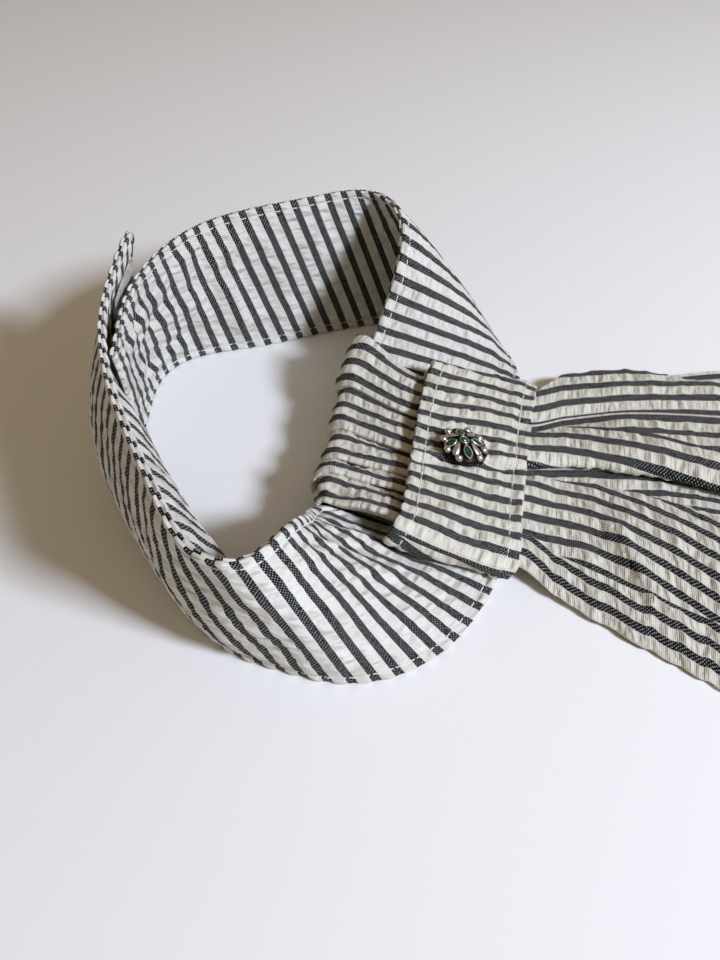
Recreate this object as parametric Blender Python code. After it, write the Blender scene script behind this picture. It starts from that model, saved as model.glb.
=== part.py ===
"""Pre-tied stock tie of striped seersucker, laid on a table with its front facing up.

The neckband stands as a loop on its lower edge and its front lies down nearly flat. A pleated
panel wraps the chin edge of that front, runs under a keeper sleeve and goes on as two tails.
Tables are in millimetres in a frame whose Z = 0 is the table; the built part is in metres.
"""
import math

import bmesh
import bpy
import numpy as np
from mathutils import Matrix, Vector

# Driving sizes, in millimetres
STRIPE = 5.8             # repeat of the woven stripe, and the step between two band sections
BAND_WALL = 1.6          # two layers of cloth and the interlining between them
CLOTH_WALL = 1.0
KEEPER_WALL = 1.2
SEAM_GAP = 0.3           # space left between two pieces that touch
PATCH_WALL = 0.6         # hook or loop patch
LAYER = 1.6              # step from one layer of folded cloth to the next
HAIRPIN = 0.16           # how far a folded edge is rounded, in stripes
FIRST_SECTION = -39      # band section at the inner end
LAST_SECTION = 38        # band section at the outer end

# Neckband: stripe number of the section, upper edge x y z, lower edge x y z, outward bow
BAND = (
    (-39, -64.6, 9.0, 48.3, -69.9, 30.9, -0.2, 0.0),
    (-36, -65.3, 26.5, 48.6, -68.6, 48.0, -0.2, 0.0),
    (-34, -63.6, 38.5, 48.6, -63.4, 57.3, -0.2, 0.0),
    (-31, -57.8, 56.0, 48.6, -48.5, 64.5, -0.2, 0.0),
    (-28, -47.0, 69.3, 48.6, -31.0, 69.0, -0.2, 0.0),
    (-25, -31.6, 77.9, 48.6, -14.5, 75.3, -0.2, 0.0),
    (-22, -15.0, 84.7, 48.6, 2.6, 80.3, -0.2, 0.0),
    (-19, 0.7, 88.8, 48.6, 20.0, 83.0, -0.2, 1.0),
    (-17, 8.9, 83.2, 48.4, 31.5, 81.0, -0.2, 3.0),
    (-15, 12.9, 71.5, 46.6, 42.0, 75.6, 0.0, 4.5),
    (-12, 10.6, 56.4, 35.5, 51.5, 62.0, 0.4, 4.5),
    (-9, 5.0, 45.5, 23.2, 54.6, 45.6, 0.9, 2.0),
    (-6, -0.5, 32.0, 14.5, 51.2, 27.8, 0.95, 0.5),
    (-3, -3.5, 16.0, 10.8, 47.6, 10.4, 0.95, 0.0),
    (0, -5.5, -1.0, 10.0, 43.9, -7.0, 0.95, 0.0),
    (3, -8.0, -18.0, 12.0, 40.0, -25.0, 0.95, 0.0),
    (5, -10.5, -28.5, 17.0, 37.1, -37.4, 0.9, 0.0),
    (7, -12.8, -37.0, 25.0, 31.7, -47.5, 0.6, 0.0),
    (9, -14.5, -44.5, 33.5, 24.5, -56.6, 0.2, 0.0),
    (12, -17.4, -56.3, 43.0, 9.9, -66.0, -0.2, 0.0),
    (15, -25.4, -68.8, 48.4, -7.1, -67.7, -0.2, 0.0),
    (17, -34.5, -66.0, 48.8, -18.6, -64.6, -0.2, 0.0),
    (19.5, -43.0, -52.8, 49.0, -32.0, -59.5, -0.2, 0.0),
    (23.5, -53.8, -31.5, 49.3, -48.0, -42.2, -0.2, 0.0),
    (29, -66.5, 0.0, 50.3, -66.0, -15.5, -0.2, 0.0),
    (33, -69.2, 21.0, 53.3, -74.4, 6.5, 1.8, 0.0),
    (38, -65.6, 46.5, 60.0, -76.2, 35.5, 6.0, 0.0),
)
END_ROUNDING = 7.0             # corner radius of the outer end
END_SHARE = 0.98               # share of that corner's quarter circle that is built
END_STEPS = (0.55, 0.25, 0.08, 0.0)    # places of the last rows, in stripes before the end

# Fastening patches: band sections that each one covers, and the face of the band it lies on
PATCHES = (("loop_patch", -38.5, -35.4, 1), ("hook_patch", 33.8, 37.0, -1))
PATCH_SPAN = (0.12, 0.50)      # share of the band's width that they cover
PATCH_GAP = 0.4                # space between a patch and the band

# Chin panel, a row per pleat from the far side: band section of its folded lip at the chin edge
# and at the sleeve, height of its crest at the chin and at the sleeve, depth turned under
PLEATS = (
    ("top roll", -4.8, -2.9, 3.4, 5.2, 5.0),
    ("wide pleat", -1.6, -0.2, 2.7, 5.0, 5.0),
    ("first narrow", 0.8, 1.4, 3.0, 4.4, 3.6),
    ("second narrow", 2.3, 2.7, 4.2, 4.6, 3.4),
    ("low pleat", 4.2, 5.2, 3.8, 5.0, 2.0),
)
PANEL_START = (-8.3, -6.2)     # band section of the far edge, at the chin and at the sleeve
FAR_EDGE = (0.15, 0.6, 1.6)    # far edge: how far it bulges in stripes, height of edge and bulge
FAR_RISE = (0.10, 0.92)        # share of the way to the first lip, and of its crest, beside that edge
PLEAT_FOOT = 0.25              # how far past a lip the next pleat stays under it, in stripes
PLEAT_SHOULDER = (0.25, 0.85)  # share of the way to its lip, and of its crest, where it has risen
NEAR_EDGE = (0.35, 0.5)        # near edge under the last lip: how far in, in stripes, and height

# Path of the chin panel round the chin edge and under the sleeve: distance in from the band's
# upper edge, height off its middle face, share of the crest height, share of the way to the sleeve
PANEL_PATH = (
    (8.0, -1.8, 0.45, 0.00),
    (3.0, -1.9, 0.60, 0.00),
    (-0.6, -1.8, 0.85, 0.00),
    (-2.0, -0.9, 1.00, 0.00),
    (-2.2, 0.5, 1.00, 0.03),
    (-1.4, 1.8, 1.00, 0.08),
    (0.6, 2.2, 1.00, 0.20),
    (4.5, 2.2, 1.00, 0.38),
    (9.0, 2.5, 1.00, 0.60),
    (14.0, 3.0, 0.98, 0.84),
    (18.5, 3.4, 0.95, 1.00),
    (24.0, 3.4, 0.88, 1.04),
    (32.0, 3.4, 0.70, 1.04),
)

# Sleeve, at its open ends: share of the band's width, middle and half width in band sections,
# height of the upper layer
SLEEVE_LEFT = (0.37, -0.22, 6.75, 11.6)
SLEEVE_RIGHT = (1.04, -1.12, 6.33, 9.4)
SLEEVE_FLOOR = 1.75            # height of the lower layer over the band's middle face
SLEEVE_SIDES = 0.55            # powers of the tube's cross section: 1 is an ellipse, 0 a box
SLEEVE_TOP = 0.5
SLEEVE_BOTTOM = 0.2

# Tails, where their cross sections stand: share of the band's width and the first and last band
# section for those inside the sleeve, then far end and near end x y on the table for the others
TAIL_INSIDE = ((0.76, -6.7, 5.3), (0.90, -6.85, 5.0), (1.03, -7.0, 4.75))
BACK_TAIL_INSIDE = ((0.76, -5.6, 3.9), (0.90, -5.8, 3.7), (1.03, -6.0, 3.5))
TAIL_OUTSIDE = (
    ((69.0, 43.4), (54.5, -46.8)),
    ((91.0, 47.0), (74.0, -61.0)),
    ((121.0, 41.0), (101.0, -78.5)),
    ((160.0, 39.5), (141.0, -87.0)),
    ((205.0, 41.0), (188.0, -93.0)),
    ((247.0, 40.0), (233.0, -97.0)),
)
BACK_TAIL_OUTSIDE = (
    ((69.5, 40.0), (56.0, -33.0)),
    ((91.5, 45.5), (76.0, -46.0)),
    ((121.5, 50.0), (103.0, -62.0)),
    ((160.0, 53.0), (143.0, -74.0)),
    ((205.0, 54.0), (190.0, -80.0)),
    ((241.0, 53.0), (229.0, -84.0)),
)
TAIL_FLOOR = 4.65              # front tail's lowest layer over the band's middle face
BACK_FLOOR = 3.35              # back tail over the band's middle face

# Front tail, a row per fold from the far edge: share of the way across at the sleeve, nearest,
# next, at 120 mm, at 160 mm, at 205 mm and at the end; then its height over the lowest layer there
FRONT_FOLDS = (
    ("far edge", (0.00, 0.00, 0.00, 0.00, 0.00, 0.00, 0.00), (0.6, 1.6, 2.6, 1.6, 1.0, 0.6, 0.3)),
    ("far swell", (0.12, 0.12, 0.10, 0.05, 0.08, 0.09, 0.10), (2.5, 4.2, 5.0, 3.0, 2.6, 2.2, 1.6)),
    ("valley", (0.25, 0.24, 0.20, 0.12, 0.14, 0.16, 0.17), (0.9, 1.4, 1.4, 1.2, 1.0, 0.8, 0.6)),
    ("middle swell", (0.38, 0.34, 0.33, 0.31, 0.31, 0.31, 0.31), (2.9, 5.0, 6.6, 6.6, 5.6, 4.6, 3.6)),
    ("upper lip", (0.51, 0.50, 0.48, 0.45, 0.45, 0.46, 0.46), (2.9, 3.9, 4.6, 4.6, 4.2, 3.8, 3.2)),
    ("lower lip", (0.58, 0.59, 0.58, 0.55, 0.54, 0.54, 0.54), (2.9, 3.9, 4.4, 4.4, 4.0, 3.6, 3.2)),
    ("near swell", (0.70, 0.72, 0.72, 0.70, 0.69, 0.68, 0.68), (2.9, 5.0, 6.0, 6.0, 5.0, 4.2, 3.6)),
    ("near valley", (0.87, 0.88, 0.88, 0.86, 0.85, 0.84, 0.84), (1.0, 1.6, 1.4, 1.8, 1.6, 1.2, 0.8)),
    ("near hem", (0.94, 0.94, 0.94, 0.94, 0.94, 0.94, 0.94), (1.8, 2.2, 1.6, 1.4, 1.0, 0.4, 0.0)),
    ("near edge", (1.00, 1.00, 1.00, 1.00, 1.00, 1.00, 1.00), (0.4, -0.4, -1.2, -1.3, -1.3, -1.3, -1.3)),
)
PLEAT_TURN = (5.5, 6.0, 7.0, 8.0, 8.0, 8.0, 8.0)     # depth turned under at the two lips

# Back tail: the same, with its heights over the table outside the sleeve
BACK_FOLDS = (
    ("far edge", (0.00, 0.00, 0.00, 0.00, 0.00, 0.00, 0.00), (0.0, 0.0, 0.4, 1.4, 1.4, 1.0, 0.6)),
    ("far part", (0.06, 0.06, 0.05, 0.04, 0.04, 0.04, 0.04), (0.0, 0.0, 0.0, 0.3, 0.3, 0.2, 0.1)),
    ("flat part", (0.14, 0.14, 0.12, 0.09, 0.09, 0.09, 0.09), (0.0, 0.0, 0.0, 0.0, 0.0, 0.0, 0.0)),
    ("middle", (0.55, 0.55, 0.55, 0.55, 0.55, 0.55, 0.55), (0.0, 0.0, 0.0, 0.0, 0.0, 0.0, 0.0)),
    ("near part", (0.80, 0.80, 0.80, 0.80, 0.80, 0.80, 0.80), (0.0, 0.0, 0.0, 0.0, 0.0, 0.0, 0.0)),
    ("near edge", (1.00, 1.00, 1.00, 1.00, 1.00, 1.00, 1.00), (0.0, 0.0, 0.0, 0.0, 0.0, 0.0, 0.0)),
)

# Jewel: place on the sleeve as band section and share of the band's width
JEWEL_SEAT = (-0.65, 0.66)
JEWEL_LIFT = 0.45              # space between its back and the sleeve
JEWEL_RADIUS = 6.9
JEWEL_SCALLOPS = 10
# Outline of the silver setting: share of the radius, height, share of the scalloping
JEWEL_RINGS = (
    (0.72, 0.0, 0.0), (0.90, 0.1, 0.6), (1.00, 0.6, 1.0), (0.98, 1.2, 1.0),
    (0.86, 1.6, 0.5), (0.66, 2.7, 0.0), (0.42, 3.5, 0.0), (0.16, 3.9, 0.0),
)
SCALLOP_DEPTH = 0.28
PETALS = 4
PETAL_SIZE = (1.6, 0.85, 0.45)     # half length, half width, half height
PETAL_PLACE = (3.1, 0.0, 4.35)     # middle of the first one, from the setting's back
PETAL_TURN = math.radians(23)
PETAL_TILT = math.radians(24)
STONE_RADIUS = 1.05
STONE_HEIGHT = 0.8
STONE_TABLE = 0.6                  # share of its radius at the top

SEERSUCKER_COLOUR = (0.62, 0.60, 0.56)
TAPE_COLOUR = (0.74, 0.73, 0.69)
SILVER_COLOUR = (0.42, 0.42, 0.43)
GLASS_COLOUR = (0.02, 0.20, 0.10)


def column_curve(knots, values):
    """Smooth curve through the rows of values at the knots: a natural cubic spline."""
    knots = np.asarray(knots, float)
    values = np.asarray(values, float).reshape(len(knots), -1)
    count = len(knots)
    gap = np.diff(knots)
    matrix = np.eye(count)
    right = np.zeros(values.shape)
    for i in range(1, count - 1):
        matrix[i, i - 1:i + 2] = gap[i - 1], 2 * (gap[i - 1] + gap[i]), gap[i]
        right[i] = 6 * ((values[i + 1] - values[i]) / gap[i]
                        - (values[i] - values[i - 1]) / gap[i - 1])
    bend = np.linalg.solve(matrix, right)

    def at(where):
        where = np.asarray(where, float)
        i = np.clip(np.searchsorted(knots, where) - 1, 0, count - 2)
        width = gap[i][..., None]
        left = (where - knots[i])[..., None]
        rest = width - left
        return ((bend[i] * rest**3 + bend[i + 1] * left**3) / (6 * width)
                + (values[i] / width - bend[i] * width / 6) * rest
                + (values[i + 1] / width - bend[i + 1] * width / 6) * left)
    return at


def steady_curve(knots, values):
    """Smooth curve through the rows of values that never swings past a row."""
    knots = np.asarray(knots, float)
    gap = np.diff(knots)[:, None]
    slope = np.diff(values, axis=0) / gap
    before, after = slope[:-1], slope[1:]
    both = before * after
    middle = np.where(both > 0, 2 * both / np.where(both > 0, before + after, 1.0), 0.0)
    tangent = np.concatenate([slope[:1], middle, slope[-1:]])

    def at(where):
        where = np.asarray(where, float)
        i = np.clip(np.searchsorted(knots, where) - 1, 0, len(knots) - 2)
        width = gap[i]
        t = (where - knots[i])[:, None] / width
        return (values[i] * (1 + 2 * t) * (1 - t)**2 + values[i + 1] * t**2 * (3 - 2 * t)
                + width * (tangent[i] * t * (1 - t)**2 - tangent[i + 1] * t**2 * (1 - t)))
    return at


def rounded(controls, counts):
    """Rounded line that follows control points: a uniform cubic B-spline, counts[i] steps a span."""
    controls = np.asarray(controls, float)
    first = 2 * controls[:1] - controls[1:2]
    last = 2 * controls[-1:] - controls[-2:-1]
    points = np.concatenate([first, controls, last])
    line = []
    for i in range(len(controls) - 1):
        for step in range(counts[i]):
            t = step / counts[i]
            line.append((points[i] * (1 - t)**3
                         + points[i + 1] * (3 * t**3 - 6 * t**2 + 4)
                         + points[i + 2] * (-3 * t**3 + 3 * t**2 + 3 * t + 1)
                         + points[i + 3] * t**3) / 6)
    line.append(controls[-1])
    return np.array(line)


def hairpin(edge, inside, high, low):
    """Four control points that turn the cloth back on itself at an edge, from high to low."""
    return [(inside, high), (edge, 0.75 * high + 0.25 * low),
            (edge, 0.25 * high + 0.75 * low), (inside, low)]


band_rows = np.array(BAND)
band_curve = column_curve(band_rows[:, 0], band_rows[:, 1:])


def band_point(section, inward, height):
    """Point over the neckband: section number, millimetres in from the upper edge, height."""
    section, inward, height = np.broadcast_arrays(
        np.asarray(section, float), np.asarray(inward, float), np.asarray(height, float))
    step = 0.05

    def place(where):
        edges = band_curve(where)
        upper, lower, bow = edges[..., :3], edges[..., 3:6], edges[..., 6]
        across = lower - upper
        width = np.linalg.norm(across, axis=-1)
        across = across / width[..., None]
        share = inward / width
        return upper + across * inward[..., None], across, 4 * share * (1 - share) * bow
    middle, across, bulge = place(section)
    along = place(section + step)[0] - place(section - step)[0]
    normal = np.cross(along, across)
    normal = normal / np.linalg.norm(normal, axis=-1, keepdims=True)
    return middle + normal * (height + bulge)[..., None]


def band_width(section):
    edges = band_curve(section)
    return np.linalg.norm(edges[..., 3:6] - edges[..., :3], axis=-1)


def bisector(grid, axis, ring):
    """Direction along one axis of a grid at each point, halfway between its two neighbours'."""
    grid = np.moveaxis(grid, axis, 0)
    steps = np.roll(grid, -1, axis=0) - grid if ring else np.diff(grid, axis=0)
    steps = steps / np.maximum(np.linalg.norm(steps, axis=-1, keepdims=True), 1e-9)
    if ring:
        both = steps + np.roll(steps, 1, axis=0)
    else:
        both = np.concatenate([steps[:1], steps[1:] + steps[:-1], steps[-1:]])
    return np.moveaxis(both, 0, axis)


def face_normals(grid, ring):
    """Unit normals of a grid of points, ring when its columns close on themselves."""
    normal = np.cross(bisector(grid, 0, False), bisector(grid, 1, ring))
    length = np.linalg.norm(normal, axis=-1, keepdims=True)
    return normal / np.maximum(length, 1e-9)


def wall(grid, thickness, ring=False):
    """Closed shell with the given thickness round a grid of points on the cloth's middle."""
    normal = face_normals(grid, ring)
    outer = grid + normal * thickness / 2
    inner = grid - normal * thickness / 2
    rows, columns = grid.shape[:2]
    points = np.concatenate([outer.reshape(-1, 3), inner.reshape(-1, 3)])
    points[:, 2] = np.maximum(points[:, 2], 0.0)
    faces = []
    span = columns if ring else columns - 1

    def index(side, row, column):
        return side * rows * columns + row * columns + column % columns
    for row in range(rows - 1):
        for column in range(span):
            for side in (0, 1):
                face = [index(side, row, column), index(side, row + 1, column),
                        index(side, row + 1, column + 1), index(side, row, column + 1)]
                faces.append(face if side == 0 else face[::-1])
    for column in range(span):
        for row, turn in ((0, 1), (rows - 1, -1)):
            face = [index(0, row, column), index(0, row, column + 1),
                    index(1, row, column + 1), index(1, row, column)]
            faces.append(face[::turn])
    if not ring:
        for row in range(rows - 1):
            for column, turn in ((0, -1), (columns - 1, 1)):
                face = [index(0, row, column), index(0, row + 1, column),
                        index(1, row + 1, column), index(1, row, column)]
                faces.append(face[::turn])
    return points, faces


def band_grid():
    """Middle face of the neckband, a row for each stripe and more at its rounded outer end."""
    sections = np.concatenate([np.arange(FIRST_SECTION, LAST_SECTION, 1.0),
                               LAST_SECTION - np.array(END_STEPS)])
    width = band_width(sections)
    near_end = np.clip(END_ROUNDING - (LAST_SECTION - sections) * STRIPE,
                       0, END_ROUNDING * END_SHARE)
    trim = END_ROUNDING - np.sqrt(END_ROUNDING**2 - near_end**2)
    share = np.linspace(0, 1, 7)
    inward = trim[:, None] + share[None, :] * (width - 2 * trim)[:, None]
    return band_point(sections[:, None], inward, 0.0)


def patch_grid(first, last, side):
    """Middle face of a fastening patch lying on one face of the overlapped band ends."""
    sections = np.linspace(first, last, 7)
    share = np.linspace(*PATCH_SPAN, 5)
    height = side * (BAND_WALL / 2 + PATCH_GAP + PATCH_WALL / 2)
    return band_point(sections[:, None], share[None, :] * band_width(sections)[:, None], height)


def panel_controls(share, way):
    """Pleated section of the chin panel as control points: band section, height off the path."""
    start = PANEL_START[0] + (PANEL_START[1] - PANEL_START[0]) * way
    bulge, edge_height, bulge_height = FAR_EDGE
    controls = [(start, edge_height), (start - bulge, bulge_height)]
    left = start
    for name, chin, sleeve, chin_crest, sleeve_crest, under in PLEATS:
        lip = chin + (sleeve - chin) * way
        top = max((chin_crest + (sleeve_crest - chin_crest) * way) * share, 2 * LAYER)
        back = lip - under / STRIPE
        if left == start:
            along, rise = FAR_RISE
            controls.append((left + along * (lip - left), top * rise))
        else:
            along, rise = PLEAT_SHOULDER
            foot = left + PLEAT_FOOT
            controls += [(foot, 0.0), (foot + along * (lip - left), top * rise)]
        controls += hairpin(lip, lip - HAIRPIN, top, top / 2)
        if name != PLEATS[-1][0]:
            controls += hairpin(back, back + HAIRPIN, top / 2, 0.0)
        left = lip
    controls.append((left - NEAR_EDGE[0], NEAR_EDGE[1]))
    return controls


def panel_grid(steps=1):
    """Middle face of the chin panel: rows go round the chin edge and under the sleeve."""
    rows = []
    for inward, height, share, way in PANEL_PATH:
        controls = panel_controls(share, min(way, 1.0))
        rows.append(rounded(controls, [steps] * (len(controls) - 1)))
    profile = np.array(rows)
    path = np.array([row[:2] for row in PANEL_PATH])
    tangent = np.gradient(path, axis=0)
    tangent /= np.linalg.norm(tangent, axis=1, keepdims=True)
    outward = np.stack([-tangent[:, 1], tangent[:, 0]], axis=1)
    inward = path[:, None, 0] + profile[..., 1] * outward[:, None, 0]
    height = path[:, None, 1] + profile[..., 1] * outward[:, None, 1]
    return band_point(profile[..., 0], inward, height)


def sleeve_grid(rows=8, columns=40):
    """Middle face of the keeper: a flattened tube round the chin panel and the tails."""
    grid = []
    for row in np.linspace(0, 1, rows):
        share, middle, half, top = [a + (b - a) * row for a, b in zip(SLEEVE_LEFT, SLEEVE_RIGHT)]
        angle = np.linspace(0, 2 * math.pi, columns, endpoint=False)
        cosine, sine = np.cos(angle), np.sin(angle)
        section = middle + half * np.sign(cosine) * np.abs(cosine)**SLEEVE_SIDES
        rise = (top - SLEEVE_FLOOR) / 2
        power = np.where(sine > 0, SLEEVE_TOP, SLEEVE_BOTTOM)
        height = SLEEVE_FLOOR + rise * (1 + np.sign(sine) * np.abs(sine)**power)
        grid.append(band_point(section, share * band_width(section), height))
    return np.array(grid)


def tail_controls(folds, column, width):
    """Control points of a tail's cross section, share of the way across and height; and steps."""
    controls, counts = [], []
    for name, shares, heights in folds:
        share, height = shares[column], heights[column]
        if name.endswith("lip"):
            turn = PLEAT_TURN[column] / width
            bend = HAIRPIN * STRIPE / width
            high = max(height, 2 * LAYER)
            if name == "upper lip":
                lip = hairpin(share, share - bend, high, high / 2)
                under = hairpin(share - turn, share - turn + bend, high / 2, 0.0)
                controls += lip + under
            else:
                under = hairpin(share + turn, share + turn - bend, 0.0, high / 2)
                lip = hairpin(share, share + bend, high / 2, high)
                controls += under + lip
            counts += [1] * 7 + [2]
        else:
            controls.append((share, height))
            counts.append(2)
    return controls, counts


def tail_grid(folds, inside, outside, inside_floor, table_floor, steps, rows_between):
    """Middle face of a tail: its cross sections inside the sleeve and over the table, joined."""
    stations = []
    for share, first, last in inside:
        controls, counts = tail_controls(folds, 0, STRIPE * (last - first))
        profile = rounded(controls, [steps * count for count in counts])
        section = first + (last - first) * profile[:, 0]
        stations.append(band_point(section, share * band_width(section),
                                   inside_floor + profile[:, 1]))
    for column, (far, near) in enumerate(outside):
        far, near = np.array(far), np.array(near)
        controls, counts = tail_controls(folds, column + 1, np.linalg.norm(near - far))
        profile = rounded(controls, [steps * count for count in counts])
        flat = far + (near - far) * profile[:, :1]
        stations.append(np.concatenate([flat, table_floor + profile[:, 1:]], axis=1))
    stations = np.array(stations)
    middle = stations.mean(axis=1)
    knots = np.concatenate([[0], np.cumsum(np.linalg.norm(np.diff(middle, axis=0), axis=1))])
    curve = steady_curve(knots, stations.reshape(len(stations), -1))
    places = [knots[0]]
    for i, count in enumerate(rows_between):
        places += list(knots[i] + (knots[i + 1] - knots[i]) * np.arange(1, count + 1) / count)
    return curve(np.array(places)).reshape(len(places), -1, 3)


def tail_front_grid(steps=1, rows_between=(1, 1, 4, 3, 3, 2, 2, 2)):
    return tail_grid(FRONT_FOLDS, TAIL_INSIDE, TAIL_OUTSIDE, TAIL_FLOOR,
                     CLOTH_WALL * 1.5 + SEAM_GAP, steps, rows_between)


def tail_back_grid(steps=1, rows_between=(1, 1, 4, 2, 3, 2, 2, 2)):
    return tail_grid(BACK_FOLDS, BACK_TAIL_INSIDE, BACK_TAIL_OUTSIDE, BACK_FLOOR,
                     CLOTH_WALL / 2, steps, rows_between)


def jewel_frame():
    """Matrix that puts the jewel on the sleeve's upper layer, its axis along the layer's normal."""
    section, share = JEWEL_SEAT
    way = (share - SLEEVE_LEFT[0]) / (SLEEVE_RIGHT[0] - SLEEVE_LEFT[0])
    top = SLEEVE_LEFT[3] + (SLEEVE_RIGHT[3] - SLEEVE_LEFT[3]) * way
    inward = share * band_width(section)
    seat = band_point(section, inward, top + KEEPER_WALL / 2 + JEWEL_LIFT)
    surface = band_point(section, inward, top)
    normal = Vector(band_point(section, inward, top + STRIPE) - surface).normalized()
    right = Vector(band_point(section, inward + STRIPE, top) - surface).normalized()
    run = (SLEEVE_RIGHT[0] - SLEEVE_LEFT[0]) * float(band_width(section))
    slope = (SLEEVE_LEFT[3] - SLEEVE_RIGHT[3]) / run
    right = (right - normal * slope).normalized()
    normal = (normal - right * normal.dot(right)).normalized()
    depth = normal.cross(right)
    frame = Matrix((right, depth, normal)).transposed().to_4x4()
    frame.translation = Vector(seat)
    return frame


def jewel_setting(frame):
    """Silver setting: a domed cup with a scalloped edge and a closed flat back."""
    segments = JEWEL_SCALLOPS * 4
    points = [(0.0, 0.0, 0.0)]
    for share, height, scallop in JEWEL_RINGS:
        for i in range(segments):
            angle = 2 * math.pi * i / segments
            radius = JEWEL_RADIUS * share - SCALLOP_DEPTH * scallop * (
                1 - abs(math.cos(JEWEL_SCALLOPS * angle / 2)))
            points.append((radius * math.cos(angle), radius * math.sin(angle), height))
    points.append((0.0, 0.0, JEWEL_RINGS[-1][1]))
    faces = []
    for i in range(segments):
        j = (i + 1) % segments
        faces.append([0, 1 + j, 1 + i])
        for ring in range(len(JEWEL_RINGS) - 1):
            low, high = 1 + ring * segments, 1 + (ring + 1) * segments
            faces.append([low + i, low + j, high + j, high + i])
        high = 1 + (len(JEWEL_RINGS) - 1) * segments
        faces.append([high + i, high + j, len(points) - 1])
    return [tuple(frame @ Vector(point)) for point in points], faces


def stone_mesh():
    """Centre stone: a low cut stone over the top of the setting."""
    mesh = bmesh.new()
    top = JEWEL_RINGS[-1][1] + SEAM_GAP
    bmesh.ops.create_cone(mesh, cap_ends=True, segments=12, radius1=STONE_RADIUS,
                          radius2=STONE_RADIUS * STONE_TABLE, depth=STONE_HEIGHT,
                          matrix=Matrix.Translation((0, 0, top + STONE_HEIGHT / 2)))
    return mesh


def petal_mesh(number):
    """One of the long stones round the centre stone, lying on the slope of the setting."""
    mesh = bmesh.new()
    turn = Matrix.Rotation(2 * math.pi * number / PETALS + PETAL_TURN, 4, "Z")
    tilt = Matrix.Rotation(PETAL_TILT, 4, "Y")
    size = Matrix.Diagonal((*PETAL_SIZE, 1.0))
    bmesh.ops.create_uvsphere(mesh, u_segments=10, v_segments=6, radius=1.0,
                              matrix=turn @ Matrix.Translation(PETAL_PLACE) @ tilt @ size)
    return mesh


def plain_material(name, colour, roughness, metal=0.0):
    material = bpy.data.materials.new(name)
    material.use_nodes = True
    shader = material.node_tree.nodes["Principled BSDF"]
    shader.inputs["Base Color"].default_value = (*colour, 1.0)
    shader.inputs["Roughness"].default_value = roughness
    shader.inputs["Metallic"].default_value = metal
    material.diffuse_color = (*colour, 1.0)
    return material


def piece_material(name):
    """Material of one piece: seersucker, fastening tape, antique silver or green glass."""
    if name in ("loop_patch", "hook_patch"):
        return plain_material(f"{name}_tape", TAPE_COLOUR, 0.8)
    if name == "jewel_setting":
        return plain_material("antique_silver", SILVER_COLOUR, 0.35, 1.0)
    if name.startswith("jewel"):
        return plain_material(f"{name}_glass", GLASS_COLOUR, 0.1)
    return plain_material(f"{name}_seersucker", SEERSUCKER_COLOUR, 0.9)


def add_part(collection, name, points, faces, material, shift):
    """Named object from points in millimetres, moved so that the part stands on its origin."""
    mesh = bpy.data.meshes.new(name)
    mesh.from_pydata([tuple((np.array(p) + shift) * 0.001) for p in points], [], faces)
    mesh.validate()
    part = bpy.data.objects.new(name, mesh)
    part.data.materials.append(material)
    for polygon in mesh.polygons:
        polygon.use_smooth = True
    collection.objects.link(part)
    return part


def mesh_lists(mesh, frame):
    """Points and faces of a bmesh after the frame has moved it."""
    bmesh.ops.transform(mesh, matrix=frame, verts=mesh.verts)
    bmesh.ops.recalc_face_normals(mesh, faces=mesh.faces)
    mesh.verts.index_update()
    points = [tuple(vertex.co) for vertex in mesh.verts]
    faces = [[vertex.index for vertex in face.verts] for face in mesh.faces]
    mesh.free()
    return points, faces


def build():
    for old in list(bpy.data.objects):
        bpy.data.objects.remove(old, do_unlink=True)
    collection = bpy.data.collections.new("stock_tie")
    bpy.context.scene.collection.children.link(collection)
    frame = jewel_frame()
    pieces = {"neckband": wall(band_grid(), BAND_WALL)}
    for name, first, last, side in PATCHES:
        pieces[name] = wall(patch_grid(first, last, side), PATCH_WALL)
    pieces["chin_panel"] = wall(panel_grid(), CLOTH_WALL)
    pieces["keeper"] = wall(sleeve_grid(), KEEPER_WALL, ring=True)
    pieces["tail_front"] = wall(tail_front_grid(), CLOTH_WALL)
    pieces["tail_back"] = wall(tail_back_grid(), CLOTH_WALL)
    pieces["jewel_setting"] = jewel_setting(frame)
    pieces["jewel_stone"] = mesh_lists(stone_mesh(), frame)
    for number in range(PETALS):
        pieces[f"jewel_petal_{number + 1}"] = mesh_lists(petal_mesh(number), frame)
    everything = np.concatenate([np.array(points) for points, faces in pieces.values()])
    low, high = everything.min(axis=0), everything.max(axis=0)
    shift = np.array([-(low[0] + high[0]) / 2, -(low[1] + high[1]) / 2, -low[2]])
    for name, (points, faces) in pieces.items():
        add_part(collection, name, points, faces, piece_material(name), shift)


build()
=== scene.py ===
import math

import bmesh
import bpy
import numpy as np
from mathutils import Matrix, Vector


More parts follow.
